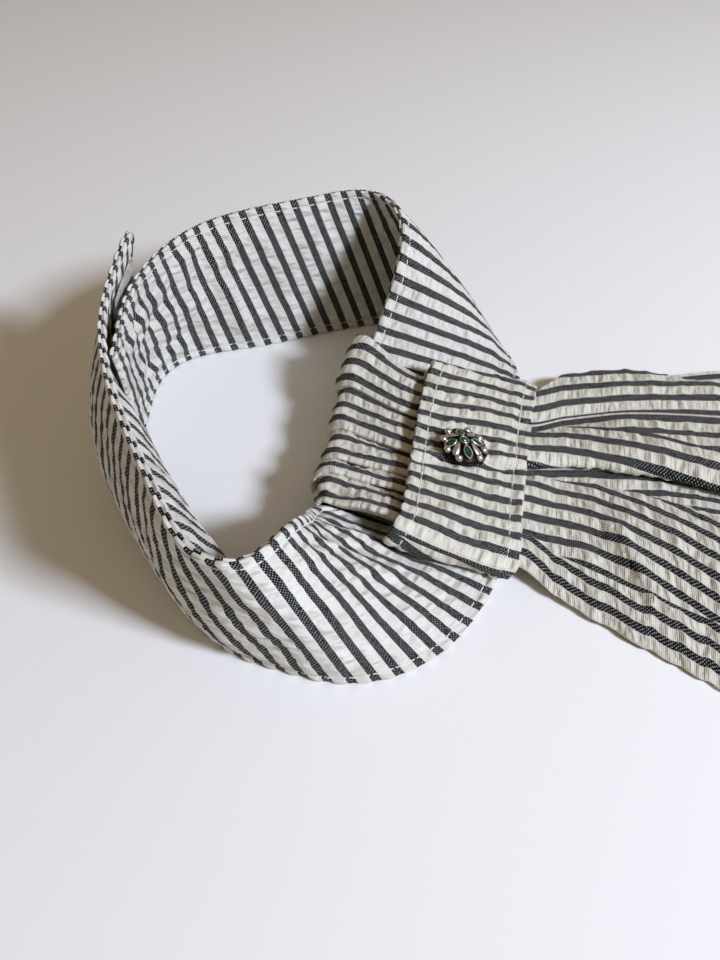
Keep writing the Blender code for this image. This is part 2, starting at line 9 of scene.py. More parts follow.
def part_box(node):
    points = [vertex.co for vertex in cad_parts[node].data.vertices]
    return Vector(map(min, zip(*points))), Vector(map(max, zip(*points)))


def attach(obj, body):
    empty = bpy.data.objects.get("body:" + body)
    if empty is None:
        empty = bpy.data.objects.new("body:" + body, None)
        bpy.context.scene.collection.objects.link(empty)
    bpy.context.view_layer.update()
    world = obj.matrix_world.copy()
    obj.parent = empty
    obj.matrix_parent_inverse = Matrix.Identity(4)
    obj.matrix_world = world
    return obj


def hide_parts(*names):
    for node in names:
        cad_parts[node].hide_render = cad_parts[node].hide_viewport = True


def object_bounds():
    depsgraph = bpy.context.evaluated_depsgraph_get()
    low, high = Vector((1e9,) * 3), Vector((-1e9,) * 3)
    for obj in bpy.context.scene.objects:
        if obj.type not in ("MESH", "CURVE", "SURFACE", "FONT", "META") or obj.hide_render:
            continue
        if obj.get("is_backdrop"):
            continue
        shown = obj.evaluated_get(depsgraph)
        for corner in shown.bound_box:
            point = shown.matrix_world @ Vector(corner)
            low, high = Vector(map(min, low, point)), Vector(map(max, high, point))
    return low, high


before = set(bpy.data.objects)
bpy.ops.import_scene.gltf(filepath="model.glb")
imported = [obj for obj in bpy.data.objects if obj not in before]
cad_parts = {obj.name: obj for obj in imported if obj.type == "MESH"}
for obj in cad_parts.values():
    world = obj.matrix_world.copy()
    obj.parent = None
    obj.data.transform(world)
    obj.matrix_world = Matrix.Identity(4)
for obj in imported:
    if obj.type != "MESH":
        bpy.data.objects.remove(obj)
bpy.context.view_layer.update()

# Neckband
# One long strip of seersucker whose stripes run across it, folded double over a thin interlining,
# turned through and topstitched 3 mm in from its long edges. It stands as a loop on its lower edge,
# and its front is twisted down until it lies nearly flat.
STRIPE = 5.8             # repeat of the woven stripe in mm, and the step between two sections
BAND_WALL = 1.6          # both layers with their interlining
STITCH_IN = 3.0          # distance of the topstitching from an edge
FIRST_SECTION = -39      # stripe number of the hidden inner end, and of the outer end
LAST_SECTION = 38
END_ROUNDING = 7.0       # radius of the outer end's corners, and the share of it that they take
END_SHARE = 0.98
CAD_END_STEPS = (0.55, 0.25, 0.08, 0.0)    # stripes from the outer end to the solid's last sections
INNER_PHASE = 0.34       # how far the inner layer's stripes are off the outer layer's, in stripes
INNER_END = FIRST_SECTION - 2    # the cloth of the hidden end runs on a little past its solid
MARGIN_SWELL = 0.65      # of the light stripes between the stitches and the edge
STITCH_DIP = 0.28
BAND_RIPPLE = 0.46       # of the light stripes
SEAM_NIP = 0.45
ROPE = 0.38              # the edges swell and shrink with the stripes
CHIN_SPREAD = 3.2
# Where the band turns sharply at the near left it has cloth to spare. For its inner layer, -1, and its
# outer one, 1: how far it stands off, and the sections where that starts, is full, wanes and ends
PUFFS = {-1: (7.0, 15.0, 19.5, 26.6, 29.8), 1: (4.8, 15.5, 20.0, 29.0, 35.0)}
WAVE_TABLE = 128         # units before the random waves repeat

# Stripe number of the section, upper edge x y z, lower edge x y z, outward bow
BAND = (
    (-39, -64.6, 9.0, 48.3, -69.9, 30.9, -0.2, 0.0),
    (-36, -65.3, 26.5, 48.6, -68.6, 48.0, -0.2, 0.0),
    (-34, -63.6, 38.5, 48.6, -63.4, 57.3, -0.2, 0.0),
    (-31, -57.8, 56.0, 48.6, -48.5, 64.5, -0.2, 0.0),
    (-28, -47.0, 69.3, 48.6, -31.0, 69.0, -0.2, 0.0),
    (-25, -31.6, 77.9, 48.6, -14.5, 75.3, -0.2, 0.0),
    (-22, -15.0, 84.7, 48.6, 2.6, 80.3, -0.2, 0.0),
    (-19, 0.7, 88.8, 48.6, 20.0, 83.0, -0.2, 1.0),
    (-17, 8.9, 83.2, 48.4, 31.5, 81.0, -0.2, 3.0),
    (-15, 12.9, 71.5, 46.6, 42.0, 75.6, 0.0, 4.5),
    (-12, 10.6, 56.4, 35.5, 51.5, 62.0, 0.4, 4.5),
    (-9, 5.0, 45.5, 23.2, 54.6, 45.6, 0.9, 2.0),
    (-6, -0.5, 32.0, 14.5, 51.2, 27.8, 0.95, 0.5),
    (-3, -3.5, 16.0, 10.8, 47.6, 10.4, 0.95, 0.0),
    (0, -5.5, -1.0, 10.0, 43.9, -7.0, 0.95, 0.0),
    (3, -8.0, -18.0, 12.0, 40.0, -25.0, 0.95, 0.0),
    (5, -10.5, -28.5, 17.0, 37.1, -37.4, 0.9, 0.0),
    (7, -12.8, -37.0, 25.0, 31.7, -47.5, 0.6, 0.0),
    (9, -14.5, -44.5, 33.5, 24.5, -56.6, 0.2, 0.0),
    (12, -17.4, -56.3, 43.0, 9.9, -66.0, -0.2, 0.0),
    (15, -25.4, -68.8, 48.4, -7.1, -67.7, -0.2, 0.0),
    (17, -34.5, -66.0, 48.8, -18.6, -64.6, -0.2, 0.0),
    (19.5, -43.0, -52.8, 49.0, -32.0, -59.5, -0.2, 0.0),
    (23.5, -53.8, -31.5, 49.3, -48.0, -42.2, -0.2, 0.0),
    (29, -66.5, 0.0, 50.3, -66.0, -15.5, -0.2, 0.0),
    (33, -69.2, 21.0, 53.3, -74.4, 6.5, 1.8, 0.0),
    (38, -65.6, 46.5, 60.0, -76.2, 35.5, 6.0, 0.0),
)


def column_curve(knots, values):
    """Smooth curve through the rows of values at the knots: a natural cubic spline."""
    knots = np.asarray(knots, float)
    values = np.asarray(values, float).reshape(len(knots), -1)
    count = len(knots)
    gap = np.diff(knots)
    matrix = np.eye(count)
    right = np.zeros(values.shape)
    for i in range(1, count - 1):
        matrix[i, i - 1:i + 2] = gap[i - 1], 2 * (gap[i - 1] + gap[i]), gap[i]
        right[i] = 6 * ((values[i + 1] - values[i]) / gap[i]
                        - (values[i] - values[i - 1]) / gap[i - 1])
    bend = np.linalg.solve(matrix, right)

    def at(where):
        where = np.asarray(where, float)
        i = np.clip(np.searchsorted(knots, where) - 1, 0, count - 2)
        width = gap[i][..., None]
        left = (where - knots[i])[..., None]
        rest = width - left
        return ((bend[i] * rest**3 + bend[i + 1] * left**3) / (6 * width)
                + (values[i] / width - bend[i] * width / 6) * rest
                + (values[i + 1] / width - bend[i + 1] * width / 6) * left)
    return at


band_rows = np.array(BAND)
band_curve = column_curve(band_rows[:, 0], band_rows[:, 1:])


def band_width(section):
    edges = band_curve(section)
    return np.linalg.norm(edges[..., 3:6] - edges[..., :3], axis=-1)


def unit(vectors):
    """The same directions with length 1."""
    return vectors / np.maximum(np.linalg.norm(vectors, axis=-1, keepdims=True), 1e-9)


def running(steps, axis=0):
    """Running total from 0."""
    return np.insert(np.cumsum(steps, axis=axis), 0, 0, axis=axis)


def band_point(section, inward, height):
    """Point over the neckband: section number, millimetres in from the upper edge, height."""
    section, inward, height = np.broadcast_arrays(
        np.asarray(section, float), np.asarray(inward, float), np.asarray(height, float))
    step = 0.05

    def place(where):
        edges = band_curve(where)
        upper, lower, bow = edges[..., :3], edges[..., 3:6], edges[..., 6]
        across = lower - upper
        width = np.linalg.norm(across, axis=-1)
        across = across / width[..., None]
        share = inward / width
        return upper + across * inward[..., None], across, 4 * share * (1 - share) * bow

    middle, across, bulge = place(section)
    along = place(section + step)[0] - place(section - step)[0]
    return middle + unit(np.cross(along, across)) * (height + bulge)[..., None]


def end_trim(sections):
    """How far the rounded corners of the outer end cut into both long edges."""
    left = (LAST_SECTION - sections) * STRIPE
    near_end = np.clip(END_ROUNDING - left, 0, END_ROUNDING * END_SHARE)
    return END_ROUNDING - np.sqrt(END_ROUNDING**2 - near_end**2)


def bisector(grid, axis, ring):
    """Direction along one axis of a grid at each point, halfway between its two neighbours'."""
    grid = np.moveaxis(grid, axis, 0)
    steps = unit(np.roll(grid, -1, axis=0) - grid if ring else np.diff(grid, axis=0))
    if ring:
        both = steps + np.roll(steps, 1, axis=0)
    else:
        both = np.concatenate([steps[:1], steps[1:] + steps[:-1], steps[-1:]])
    return np.moveaxis(both, 0, axis)


def face_normals(grid, ring=False):
    """Unit normals of a grid of points, ring when its columns close on themselves."""
    return unit(np.cross(bisector(grid, 0, False), bisector(grid, 1, ring)))


def table_origin():
    """Where the tables' origin is in the frame, in millimetres: from the solid's lowest corner."""
    sections = np.concatenate([np.arange(FIRST_SECTION, LAST_SECTION, 1.0),
                               LAST_SECTION - np.array(CAD_END_STEPS)])
    trim = end_trim(sections)[:, None]
    share = np.linspace(0, 1, 7)[None, :]
    inward = trim + share * (band_width(sections)[:, None] - 2 * trim)
    middle = band_point(sections[:, None], inward, 0.0)
    side = face_normals(middle) * BAND_WALL / 2
    points = np.concatenate([(middle + side).reshape(-1, 3), (middle - side).reshape(-1, 3)])
    low = np.array(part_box("neckband")[0]) * 1000 - points.min(axis=0)
    return np.array([low[0], low[1], 0.0])


ORIGIN = table_origin()


def waves(x, y, seed):
    """Smooth random height between -1 and 1 whose swells are about one unit wide."""
    x, y = np.broadcast_arrays(np.asarray(x, float), np.asarray(y, float))
    values = np.random.default_rng(seed).uniform(-1, 1, (WAVE_TABLE, WAVE_TABLE))
    column, row = np.floor(x).astype(int), np.floor(y).astype(int)
    u, v = x - column, y - row
    u, v = u * u * (3 - 2 * u), v * v * (3 - 2 * v)

    def corner(right, up):
        return values[(column + right) % WAVE_TABLE, (row + up) % WAVE_TABLE]

    low = corner(0, 0) * (1 - u) + corner(1, 0) * u
    high = corner(0, 1) * (1 - u) + corner(1, 1) * u
    return low * (1 - v) + high * v


def smooth_step(value, low, high):
    share = np.clip((value - low) / (high - low), 0, 1)
    return share * share * (3 - 2 * share)


def between(value, start, full, wanes, end):
    """1 from full to where it wanes, and softly down to 0 at start and end."""
    return smooth_step(value, start, full) * smooth_step(-value, -end, -wanes)


def light_share(across):
    """1 in the middle of a light stripe, 0 in the middle of a dark one."""
    return 0.5 - 0.5 * np.cos(2 * math.pi * across / STRIPE)


def puckers(across, along, seed):
    """Crinkle of seersucker, from -1 to 1: light stripes ripple and the dark ones hold them flat."""
    stripe = np.floor(across / STRIPE) * 0.31
    lined_up = waves(along / 1.8, stripe, seed)
    own = waves(along / 1.5, stripe * 17, seed + 1)
    height = np.clip(1.5 * (lined_up + 0.6 * own), -1, 1)
    return smooth_step(light_share(across), 0.1, 0.65) * height


def band_bend(section, inward):
    """Wrinkles of the whole band, in millimetres outwards."""
    section, inward = np.broadcast_arrays(np.asarray(section, float), np.asarray(inward, float))
    along_band = section * STRIPE
    width = band_width(section)
    held = smooth_step(np.minimum(inward, width - inward), 0.5, 9.0)
    lazy = 0.55 * waves(along_band / 9.0, inward / 13.0, 11)
    inner_bend = between(section, -40, -37, -29, -22)
    slanted = inward + 0.35 * along_band
    crumple = inner_bend * (1.3 * waves(along_band / 14.0, slanted / 5.0, 12)
                            + 1.1 * waves((along_band + 0.2 * inward) / 4.5, inward / 22.0, 15))
    outer_bend = between(section, 12, 17, 28, 34)
    buckle = outer_bend * (0.15 * waves((along_band - 0.7 * inward) / 4.5, inward / 15.0, 13)
                           + 0.35 * waves(along_band / 16.0, slanted / 9.0, 16))
    pinch = between(section, 4.5, 6.0, 9, 14)
    fan = (section - 6.2) * 1.9 + 0.30 * (inward - 4)
    radiating = pinch * np.exp(-((inward - 16) / 15)**2) * 1.2 * waves(fan, inward / 30.0, 14)
    return held * (lazy + crumple + buckle + radiating)


def puff(section, inward, width, side):
    """How far a layer stands off at the near left: the inner one bulges into the loop, the outer one
    away from it."""
    most, *places = PUFFS[side]
    share = np.clip((inward - STITCH_IN) / (width - 2 * STITCH_IN), 0, 1)
    return most * between(section, *places) * np.sin(math.pi * share)**0.8


def band_skin(section, inward, side):
    """Point on the band's cloth: side 1 is the outer layer and -1 the inner one."""
    section, inward = np.broadcast_arrays(np.asarray(section, float), np.asarray(inward, float))
    width = band_width(section)
    trim = end_trim(section)
    edge = np.minimum(inward - trim, width - trim - inward)
    ends = np.minimum(section - INNER_END, LAST_SECTION - section) * STRIPE
    across = (section + (INNER_PHASE if side < 0 else 0.0)) * STRIPE
    light = light_share(across)
    margin = np.sin(math.pi * np.clip(edge / STITCH_IN, 0, 1))
    stitched = np.exp(-((edge - STITCH_IN) / 0.55)**2)
    height = BAND_WALL / 2 + margin * (MARGIN_SWELL * light - 0.10) - STITCH_DIP * stitched
    height += BAND_RIPPLE * puckers(across, inward + 3 * side, 21 + side) * smooth_step(edge, 3, 6)
    radius = BAND_WALL / 2
    for distance in (edge, ends):
        near = np.clip(distance / radius, 0, 1)
        height = height * np.sqrt(near * (2 - near))
    height = height + puff(section, inward, width, side)
    seam = SEAM_NIP * np.exp(-(edge / 0.15)**2)
    rope = ROPE * (light_share(section * STRIPE) - 0.5) * np.exp(-(edge / 2.0)**2)
    # Where it comes out from under the panel its chin edge spreads and rises to the panel's last lip
    spread = CHIN_SPREAD * between(section, 4.1, 5.0, 5.2, 9.0)
    inwards = np.where(inward < width / 2, 1, -1) * (seam - rope) - spread * np.exp(-(inward / 9.0)**2)
    return band_point(section, inward + inwards, side * height + band_bend(section, inward))


def new_object(name, data):
    """Object of a mesh, a light or a camera, put in the scene."""
    made = bpy.data.objects.new(name, data)
    bpy.context.scene.collection.objects.link(made)
    return made


def mesh_piece(name, points, quads, material, corner_uv=None):
    """Object from points in the tables' millimetres; corner_uv holds a pair for each face corner."""
    mesh = bpy.data.meshes.new(name)
    used, quads = np.unique(quads, return_inverse=True)
    quads = quads.reshape(-1, 4)
    points = points.reshape(-1, 3)[used]
    points[:, 2] = np.maximum(points[:, 2], 0.0)
    mesh.from_pydata((points + ORIGIN) * 0.001, [], quads)
    if corner_uv is not None:
        layer = mesh.uv_layers.new(name="cloth")
        layer.uv.foreach_set("vector", (corner_uv * 0.001).astype(np.float32).ravel())
    mesh.shade_smooth()
    mesh.materials.append(material)
    return new_object(name, mesh)


def grid_quads(rows, columns, ring=False):
    """Corners of the faces of a grid of points, as point numbers."""
    last = columns if ring else columns - 1
    row, column = np.meshgrid(np.arange(rows - 1), np.arange(last), indexing="ij")
    after = (column + 1) % columns
    quads = np.stack([row * columns + column, (row + 1) * columns + column,
                      (row + 1) * columns + after, row * columns + after], axis=-1)
    return quads.reshape(-1, 4)


def closed_cloth(name, upper, lower, material, upper_uv, lower_uv=None, ring=False):
    """Closed shell of two skins that share their border. Each uv is (before, after): the pattern's
    place in mm at a column as the faces before it and after it see it. The lower skin's is the upper
    one's unless it is given."""
    rows, columns = upper.shape[:2]
    count = rows * columns
    quads = grid_quads(rows, columns, ring)
    numbers = np.arange(count).reshape(rows, columns)
    border = np.zeros((rows, columns), bool)
    border[[0, -1]] = True
    if not ring:
        border[:, [0, -1]] = True
    below = np.where(border, numbers, numbers + count).ravel()
    points = np.concatenate([upper.reshape(-1, 3), lower.reshape(-1, 3)])
    uv = []
    for before, after in (upper_uv, lower_uv or upper_uv):
        before, after = before.reshape(-1, 2), after.reshape(-1, 2)
        uv.append(np.stack([after[quads[:, 0]], after[quads[:, 1]],
                            before[quads[:, 2]], before[quads[:, 3]]], axis=1))
    both = np.concatenate([quads, below[quads][:, ::-1]])
    corners = np.concatenate([uv[0], uv[1][:, ::-1]])
    return mesh_piece(name, points, both, material, corners)


def linear(colour):
    """Linear RGBA of an sRGB hex colour."""
    parts = [int(colour[i:i + 2], 16) / 255 for i in (1, 3, 5)]
    return (*(p / 12.92 if p <= 0.04045 else ((p + 0.055) / 1.055)**2.4 for p in parts), 1.0)


def wire(tree, node, links):
    """Gives a node its inputs: each is a value or another node's output."""
    for key, value in links.items():
        if isinstance(value, bpy.types.NodeSocket):
            tree.links.new(value, node.inputs[key])
        else:
            node.inputs[key].default_value = value


def add(tree, kind, settings=None, links=None):
    """Adds a node with its own settings and its links."""
    made = tree.nodes.new(kind)
    for key, value in (settings or {}).items():
        setattr(made, key, value)
    wire(tree, made, links or {})
    return made


def bare_material(name):
    """New material with its nodes and its shader."""
    material = bpy.data.materials.new(name)
    material.use_nodes = True
    return material, material.node_tree, material.node_tree.nodes["Principled BSDF"]


OFF_WHITE = "#f1f1eb"    # bleached cotton
PAINTED_SHADE_CREAM = "#e6e2d1"        # the same cotton tinted warmer: painted shade for the panel, keeper and tails, which lie in dimmer, warmer light than the band
# Darker white of the light stripes: painted shade in the hollows between threads, mixed with the cotton's
# own uneven patches and grain
PAINTED_SHADE_AND_PATCH_WHITE = "#cfc9b9"
CHARCOAL = "#0c0d0f"     # dyed warp
WEFT_DOT = "#a5a49f"     # bleached weft between dark warp threads
THREADS = 12             # warp threads in a repeat, drawn 2.5 times as thick as real so they show
DARK_THREADS = 5
DARK_HALF = DARK_THREADS / THREADS / 2     # half a dark stripe, as a share of the repeat
THREAD = STRIPE / THREADS * 0.001          # width of a thread, in metres as the reliefs are
THREAD_RELIEF = 0.00012
CRINKLE_RELIEF = 0.0024
# How the weave follows from the place across the warp and along it. Each line is a result, the sum
# that gives it, and what goes in: numbers, earlier results, and two noises called uneven and patchy
WEAVE = (
    ("warp", "MULTIPLY_ADD", "across", 1 / THREAD, 0.5),
    ("weft", "DIVIDE", "along", THREAD),
    ("warp number", "FLOOR", "warp"),
    ("weft number", "FLOOR", "weft"),
    ("count", "ADD", "warp number", "weft number"),
    ("half count", "MULTIPLY", "count", 0.5),
    ("odd", "FRACT", "half count"),
    ("weft over", "GREATER_THAN", "odd", 0.25),
    ("warp place", "FRACT", "warp"),
    ("off warp", "MULTIPLY_ADD", "warp place", 2.0, -1.0),
    ("warp fall", "MULTIPLY", "off warp", "off warp"),
    ("warp crown", "SUBTRACT", 1.0, "warp fall"),
    ("weft place", "FRACT", "weft"),
    ("off weft", "MULTIPLY_ADD", "weft place", 2.0, -1.0),
    ("weft fall", "MULTIPLY", "off weft", "off weft"),
    ("weft crown", "SUBTRACT", 1.0, "weft fall"),
    ("crown", "MULTIPLY", "warp crown", "weft crown"),
    ("stripe", "MULTIPLY_ADD", "warp number", 1 / THREADS, 0.5),
    ("stripe place", "FRACT", "stripe"),
    ("off stripe", "SUBTRACT", "stripe place", 0.5),
    ("off middle", "ABSOLUTE", "off stripe"),
    ("dark", "LESS_THAN", "off middle", DARK_HALF),
    ("least crown", "MULTIPLY_ADD", "uneven", 1.4, -0.05),
    ("seen", "GREATER_THAN", "crown", "least crown"),
    ("dot", "MULTIPLY", "weft over", "seen"),
    # painted shade: the white darkens in the hollows between threads
    ("hollows", "MULTIPLY_ADD", "crown", -0.5, 0.15),
    ("grain", "MULTIPLY_ADD", "uneven", 0.7, "hollows"),
    ("shade", "MULTIPLY_ADD", "patchy", 0.6, "grain"),
)


def seersucker(name, crinkled=1.0, white=OFF_WHITE):
    """Seersucker ticking: plain weave of bleached cotton with charcoal warp stripes. Matt, with a
    soft nap; the bleached weft shows as pale dots in the dark stripes and makes their edges saw-toothed."""
    material, tree, shader = bare_material(name)
    place = add(tree, "ShaderNodeUVMap", {"uv_map": "cloth"}).outputs[0]
    split = add(tree, "ShaderNodeSeparateXYZ", links={0: place})
    # Threads are spun unevenly, every 0.9 mm or so, and the cloth is patchy over 11 mm
    uneven = add(tree, "ShaderNodeTexNoise", {}, {"Vector": place, "Scale": 1100.0, "Detail": 1.0})
    patchy = add(tree, "ShaderNodeTexNoise", {}, {"Vector": place, "Scale": 90.0, "Detail": 3.0})
    known = {"across": split.outputs[0], "along": split.outputs[1],
             "uneven": uneven.outputs[0], "patchy": patchy.outputs[0]}
    for result, operation, *entries in WEAVE:
        inputs = {i: known.get(entry, entry) for i, entry in enumerate(entries)}
        known[result] = add(tree, "ShaderNodeMath", {"operation": operation}, inputs).outputs[0]
    # The light stripes, with painted shade between their threads and uneven patches, the dark ones with
    # their dots, and both together
    for share, first, second in (("shade", linear(white), linear(PAINTED_SHADE_AND_PATCH_WHITE)),
                                 ("dot", linear(CHARCOAL), linear(WEFT_DOT)),
                                 ("dark", "shade colour", "dot colour")):
        inputs = {0: known[share], 6: known.get(first, first), 7: known.get(second, second)}
        colour = add(tree, "ShaderNodeMix", {"data_type": "RGBA"}, inputs).outputs[2]
        known[f"{share} colour"] = colour
    weave = add(tree, "ShaderNodeBump", {}, {"Height": known["crown"], "Distance": THREAD_RELIEF})
    # Crinkles 2 to 4 mm apart across each light stripe, which the dark ones hold flat
    stretched = add(tree, "ShaderNodeMapping", {}, {0: place, 3: (160.0, 370.0, 1.0)})
    crinkle = add(tree, "ShaderNodeTexNoise", {}, {"Vector": stretched.outputs[0], "Scale": 1.0,
                                                   "Detail": 1.6, "Roughness": 0.5})
    loose = add(tree, "ShaderNodeMapRange", {"interpolation_type": "SMOOTHSTEP"},
                {0: known["off middle"], 1: DARK_HALF - 0.06, 2: DARK_HALF + 0.12})
    height = add(tree, "ShaderNodeMath", {"operation": "MULTIPLY"},
                 {0: crinkle.outputs[0], 1: loose.outputs[0]})
    bump = add(tree, "ShaderNodeBump", {}, {"Height": height.outputs[0],
                                            "Distance": CRINKLE_RELIEF * crinkled,
                                            "Normal": weave.outputs[0]})
    wire(tree, shader, {"Base Color": colour, "Normal": bump.outputs[0], "Roughness": 0.92,
                        "Specular IOR Level": 0.18, "Sheen Weight": 0.06, "Sheen Roughness": 0.5})
    return material


def band_sheet():
    """Both skins of the neckband, and where each point lies in the stripes."""
    close = BAND_WALL / 2 * np.array([0.0, 0.04, 0.14, 0.32, 0.6, 1.0]) / STRIPE
    corner = np.array([1.6, 2.3, 3.1, 4.0, 5.0, 6.0]) / STRIPE
    sections = np.concatenate([
        INNER_END + close[:-1],
        np.arange(INNER_END + close[-1], LAST_SECTION - corner[-1] - 0.1, 1 / 6),
        LAST_SECTION - corner[::-1], LAST_SECTION - close[::-1]])
    margin = np.array([0.0, 0.06, 0.18, 0.36, 0.6, 0.95, 1.4, 1.9, 2.3, 2.65, 3.0, 3.35, 3.7, 4.3])
    body = np.linspace(0, 1, 52)[1:-1]
    width = band_width(sections)[:, None]
    trim = end_trim(sections)[:, None]
    inward = np.concatenate([
        trim + margin[None, :],
        trim + margin[-1] + body[None, :] * (width - 2 * trim - 2 * margin[-1]),
        width - trim - margin[None, ::-1]], axis=1)
    across = np.broadcast_to(sections[:, None] * STRIPE, inward.shape)
    outer_uv = np.stack([across, inward], axis=-1)
    inner_uv = np.stack([across + INNER_PHASE * STRIPE, inward], axis=-1)
    return (band_skin(sections[:, None], inward, 1), band_skin(sections[:, None], inward, -1),
            outer_uv, inner_uv)


def ready(piece, *nodes, slot):
    """Fixes a finished piece to the part, in place of the solids that it stands for."""
    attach(piece, "root")
    if nodes:
        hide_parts(*nodes)


outer, inner, outer_uv, inner_uv = band_sheet()
neckband = closed_cloth("neckband_cloth", outer, inner,
                        seersucker("seersucker across the band", crinkled=1.15),
                        (outer_uv, outer_uv), (inner_uv, inner_uv))
ready(neckband, "neckband", slot="seersucker_neckband")


def two_tone(name, texture, inputs, output, colours, relief, values):
    """Material whose texture runs between two colours and stands out by relief, in metres; values are
    its shader's own."""
    material, tree, shader = bare_material(name)
    place = add(tree, "ShaderNodeTexCoord").outputs["Object"]
    pattern = add(tree, texture, {}, {"Vector": place, **inputs}).outputs[output]
    first, second = (linear(colour) for colour in colours)
    mixed = add(tree, "ShaderNodeMix", {"data_type": "RGBA"}, {0: pattern, 6: first, 7: second})
    wire(tree, shader, {"Base Color": mixed.outputs[2], **values})
    if relief:
        bump = add(tree, "ShaderNodeBump", {}, {"Height": pattern, "Distance": relief})
        wire(tree, shader, {"Normal": bump.outputs[0]})
    return material


# Spun polyester-cotton sewing thread: slightly glossy, with fine slanted plies 0.35 mm apart
white_thread = two_tone("white sewing thread", "ShaderNodeTexWave", {"Scale": 900.0, "Distortion": 1.5},
                        1, ("#f2f0ea", "#c9c5ba"), 0.00004, {"Roughness": 0.6})
THREAD_RADIUS = 0.17
STITCH_LENGTH = 2.5
STITCH_GAP = 0.45


def on_line(distance, reach, line):
    """Point, or direction, at a distance on a line whose points lie at reach."""
    return np.stack([np.interp(distance, reach, column) for column in line.T], axis=-1)


def topstitching(name, lines, length=STITCH_LENGTH, radius=THREAD_RADIUS):
    """Row of stitches along each (points, normals) line that lies on the cloth."""
    sides = np.arange(6) * math.pi / 3
    # Share of the stitch's length and height over the cloth, from where it comes out to where it goes in
    shape = np.array([(0.0, -0.30), (0.10, 0.02), (0.5, 0.13), (0.90, 0.02), (1.0, -0.30)])
    points, quads = [], []
    for line, normals in lines:
        reach = running(np.linalg.norm(np.diff(line, axis=0), axis=1))
        for start in np.arange(0.5, reach[-1] - length, length + STITCH_GAP):
            at = start + shape[:, 0] * length
            up = unit(on_line(at, reach, normals))
            middle = on_line(at, reach, line) + up * shape[:, 1:]
            run = unit(np.gradient(middle, axis=0))
            beside = unit(np.cross(run, up))
            lift = np.cross(beside, run)
            ring = (beside[:, None] * np.cos(sides)[None, :, None]
                    + lift[:, None] * np.sin(sides)[None, :, None])
            quads.append(grid_quads(len(shape), 6, ring=True) + 6 * len(shape) * len(points))
            points.append(middle[:, None] + ring * radius)
    return mesh_piece(name, np.array(points), np.concatenate(quads), white_thread)


def line_over(skin, arc, distance, first_row):
    """Line down a cloth's skin at a distance from one of its edges, from a row to the last but nine."""
    normal = face_normals(skin)
    points, normals = [], []
    for row in range(first_row, len(skin) - 9):
        at = distance if distance > 0 else arc[row, -1] + distance
        points.append(on_line(at, arc[row], skin[row]))
        normals.append(on_line(at, arc[row], normal[row]))
    return np.array(points), np.array(normals)


def band_line(inward_share, inward, side, first, last):
    """Line on the band at a distance in from its upper edge, or from the lower one."""
    section = np.linspace(first, last, int((last - first) * 12))
    distance = inward_share * band_width(section) + inward
    line = band_skin(section, distance, side)
    base = band_point(section, distance, 0.0)
    normal = band_point(section, distance, 1.0) - base
    return line, normal * side


rim_lines = [band_line(share, distance, side, INNER_END + 0.6, LAST_SECTION - 1.0)
             for share, distance in ((0, STITCH_IN), (1, -STITCH_IN)) for side in (1, -1)]
band_stitches = topstitching("neckband_topstitching", rim_lines)
ready(band_stitches, slot="seersucker_neckband")

# Fastening tape
# A patch of hook tape on one end of the band and a patch of loop tape on the other, sewn on between
# the overlapped ends, where nobody sees them once the tie is closed.

# Woven nylon tape: a soft pile of loops 0.6 mm apart or stiff hooks 1 mm apart, which catch the light
for node, colour, scale, depth in (("loop_patch", "#d8d4ca", 1600.0, 0.0004),
                                   ("hook_patch", "#cfccc4", 1000.0, 0.0003)):
    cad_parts[node].data.materials[0] = two_tone(
        f"{node} nylon", "ShaderNodeTexVoronoi", {"Scale": scale}, 0, (colour, "#8f8b82"), depth,
        {"Roughness": 0.8})

# Chin panel
# A piece of seersucker laid in five knife pleats whose folds all point to the near side. It is sewn
# under the band's chin edge, turns over that edge and runs under the keeper, its stripes along it.
CLOTH_WALL = 1.0         # of the solid
CLOTH = 0.55             # thickness drawn
LAYER = 1.6              # step from one layer of cloth to the next
HAIRPIN = 0.16           # how far a fold's round reaches in from its edge, in stripes
PLEAT_DEPTH = 1.9        # from the top of a pleat to the cloth under it
LEAST_CREST = 1.9
PANEL_HUG = 0.38         # how much closer its sewn-down near end lies to the chin edge
PANEL_RIPPLE = 0.55
# Band section of the lip at the chin and at the keeper, crest height at both, depth turned under,
# and how far the nearest dark stripe's middle lies in from the lip
PLEATS = (
    ("top roll", -4.8, -2.9, 3.4, 5.2, 5.0, 2.4),
    ("wide pleat", -1.6, -0.2, 2.7, 5.0, 5.0, 3.4),
    ("first narrow", 0.8, 1.4, 3.0, 4.4, 3.6, 2.4),
    ("second narrow", 2.3, 2.7, 4.2, 4.6, 3.4, 2.4),
    ("low pleat", 4.2, 5.2, 1.9, 4.4, 2.0, 2.4),
)
PANEL_START = (-8.3, -6.2)       # section of the far edge at the chin and at the keeper
FAR_EDGE = (0.15, 0.6, 1.6)      # its bulge in stripes, its height and the bulge's height
FAR_RISE = (0.10, 0.92)          # share of the way to the first lip, and of its height
PLEAT_FOOT = 0.25                # stripes from a lip to where the next pleat comes out
PLEAT_SHOULDER = (0.25, 0.85)    # share of the way to the next lip, and of the rise
NEAR_EDGE = (0.35, 0.3)          # stripes past the last lip, and height
# Distance in from the band's upper edge, height off its middle face, share of the crest height,
# share of the way to the keeper
PANEL_PATH = (
    (8.0, -1.8, 0.45, 0.00),
    (3.0, -1.9, 0.60, 0.00),
    (-0.6, -1.8, 0.85, 0.00),
    (-2.0, -0.9, 1.00, 0.00),
    (-2.2, 0.5, 1.00, 0.03),
    (-1.4, 1.8, 1.00, 0.08),
    (0.6, 2.2, 1.00, 0.20),
    (4.5, 2.2, 1.00, 0.38),
    (9.0, 2.5, 1.00, 0.60),
    (14.0, 3.0, 0.98, 0.84),
    (18.5, 3.4, 0.95, 1.00),
    (24.0, 3.4, 0.88, 1.04),
    (32.0, 3.4, 0.70, 1.04),
)


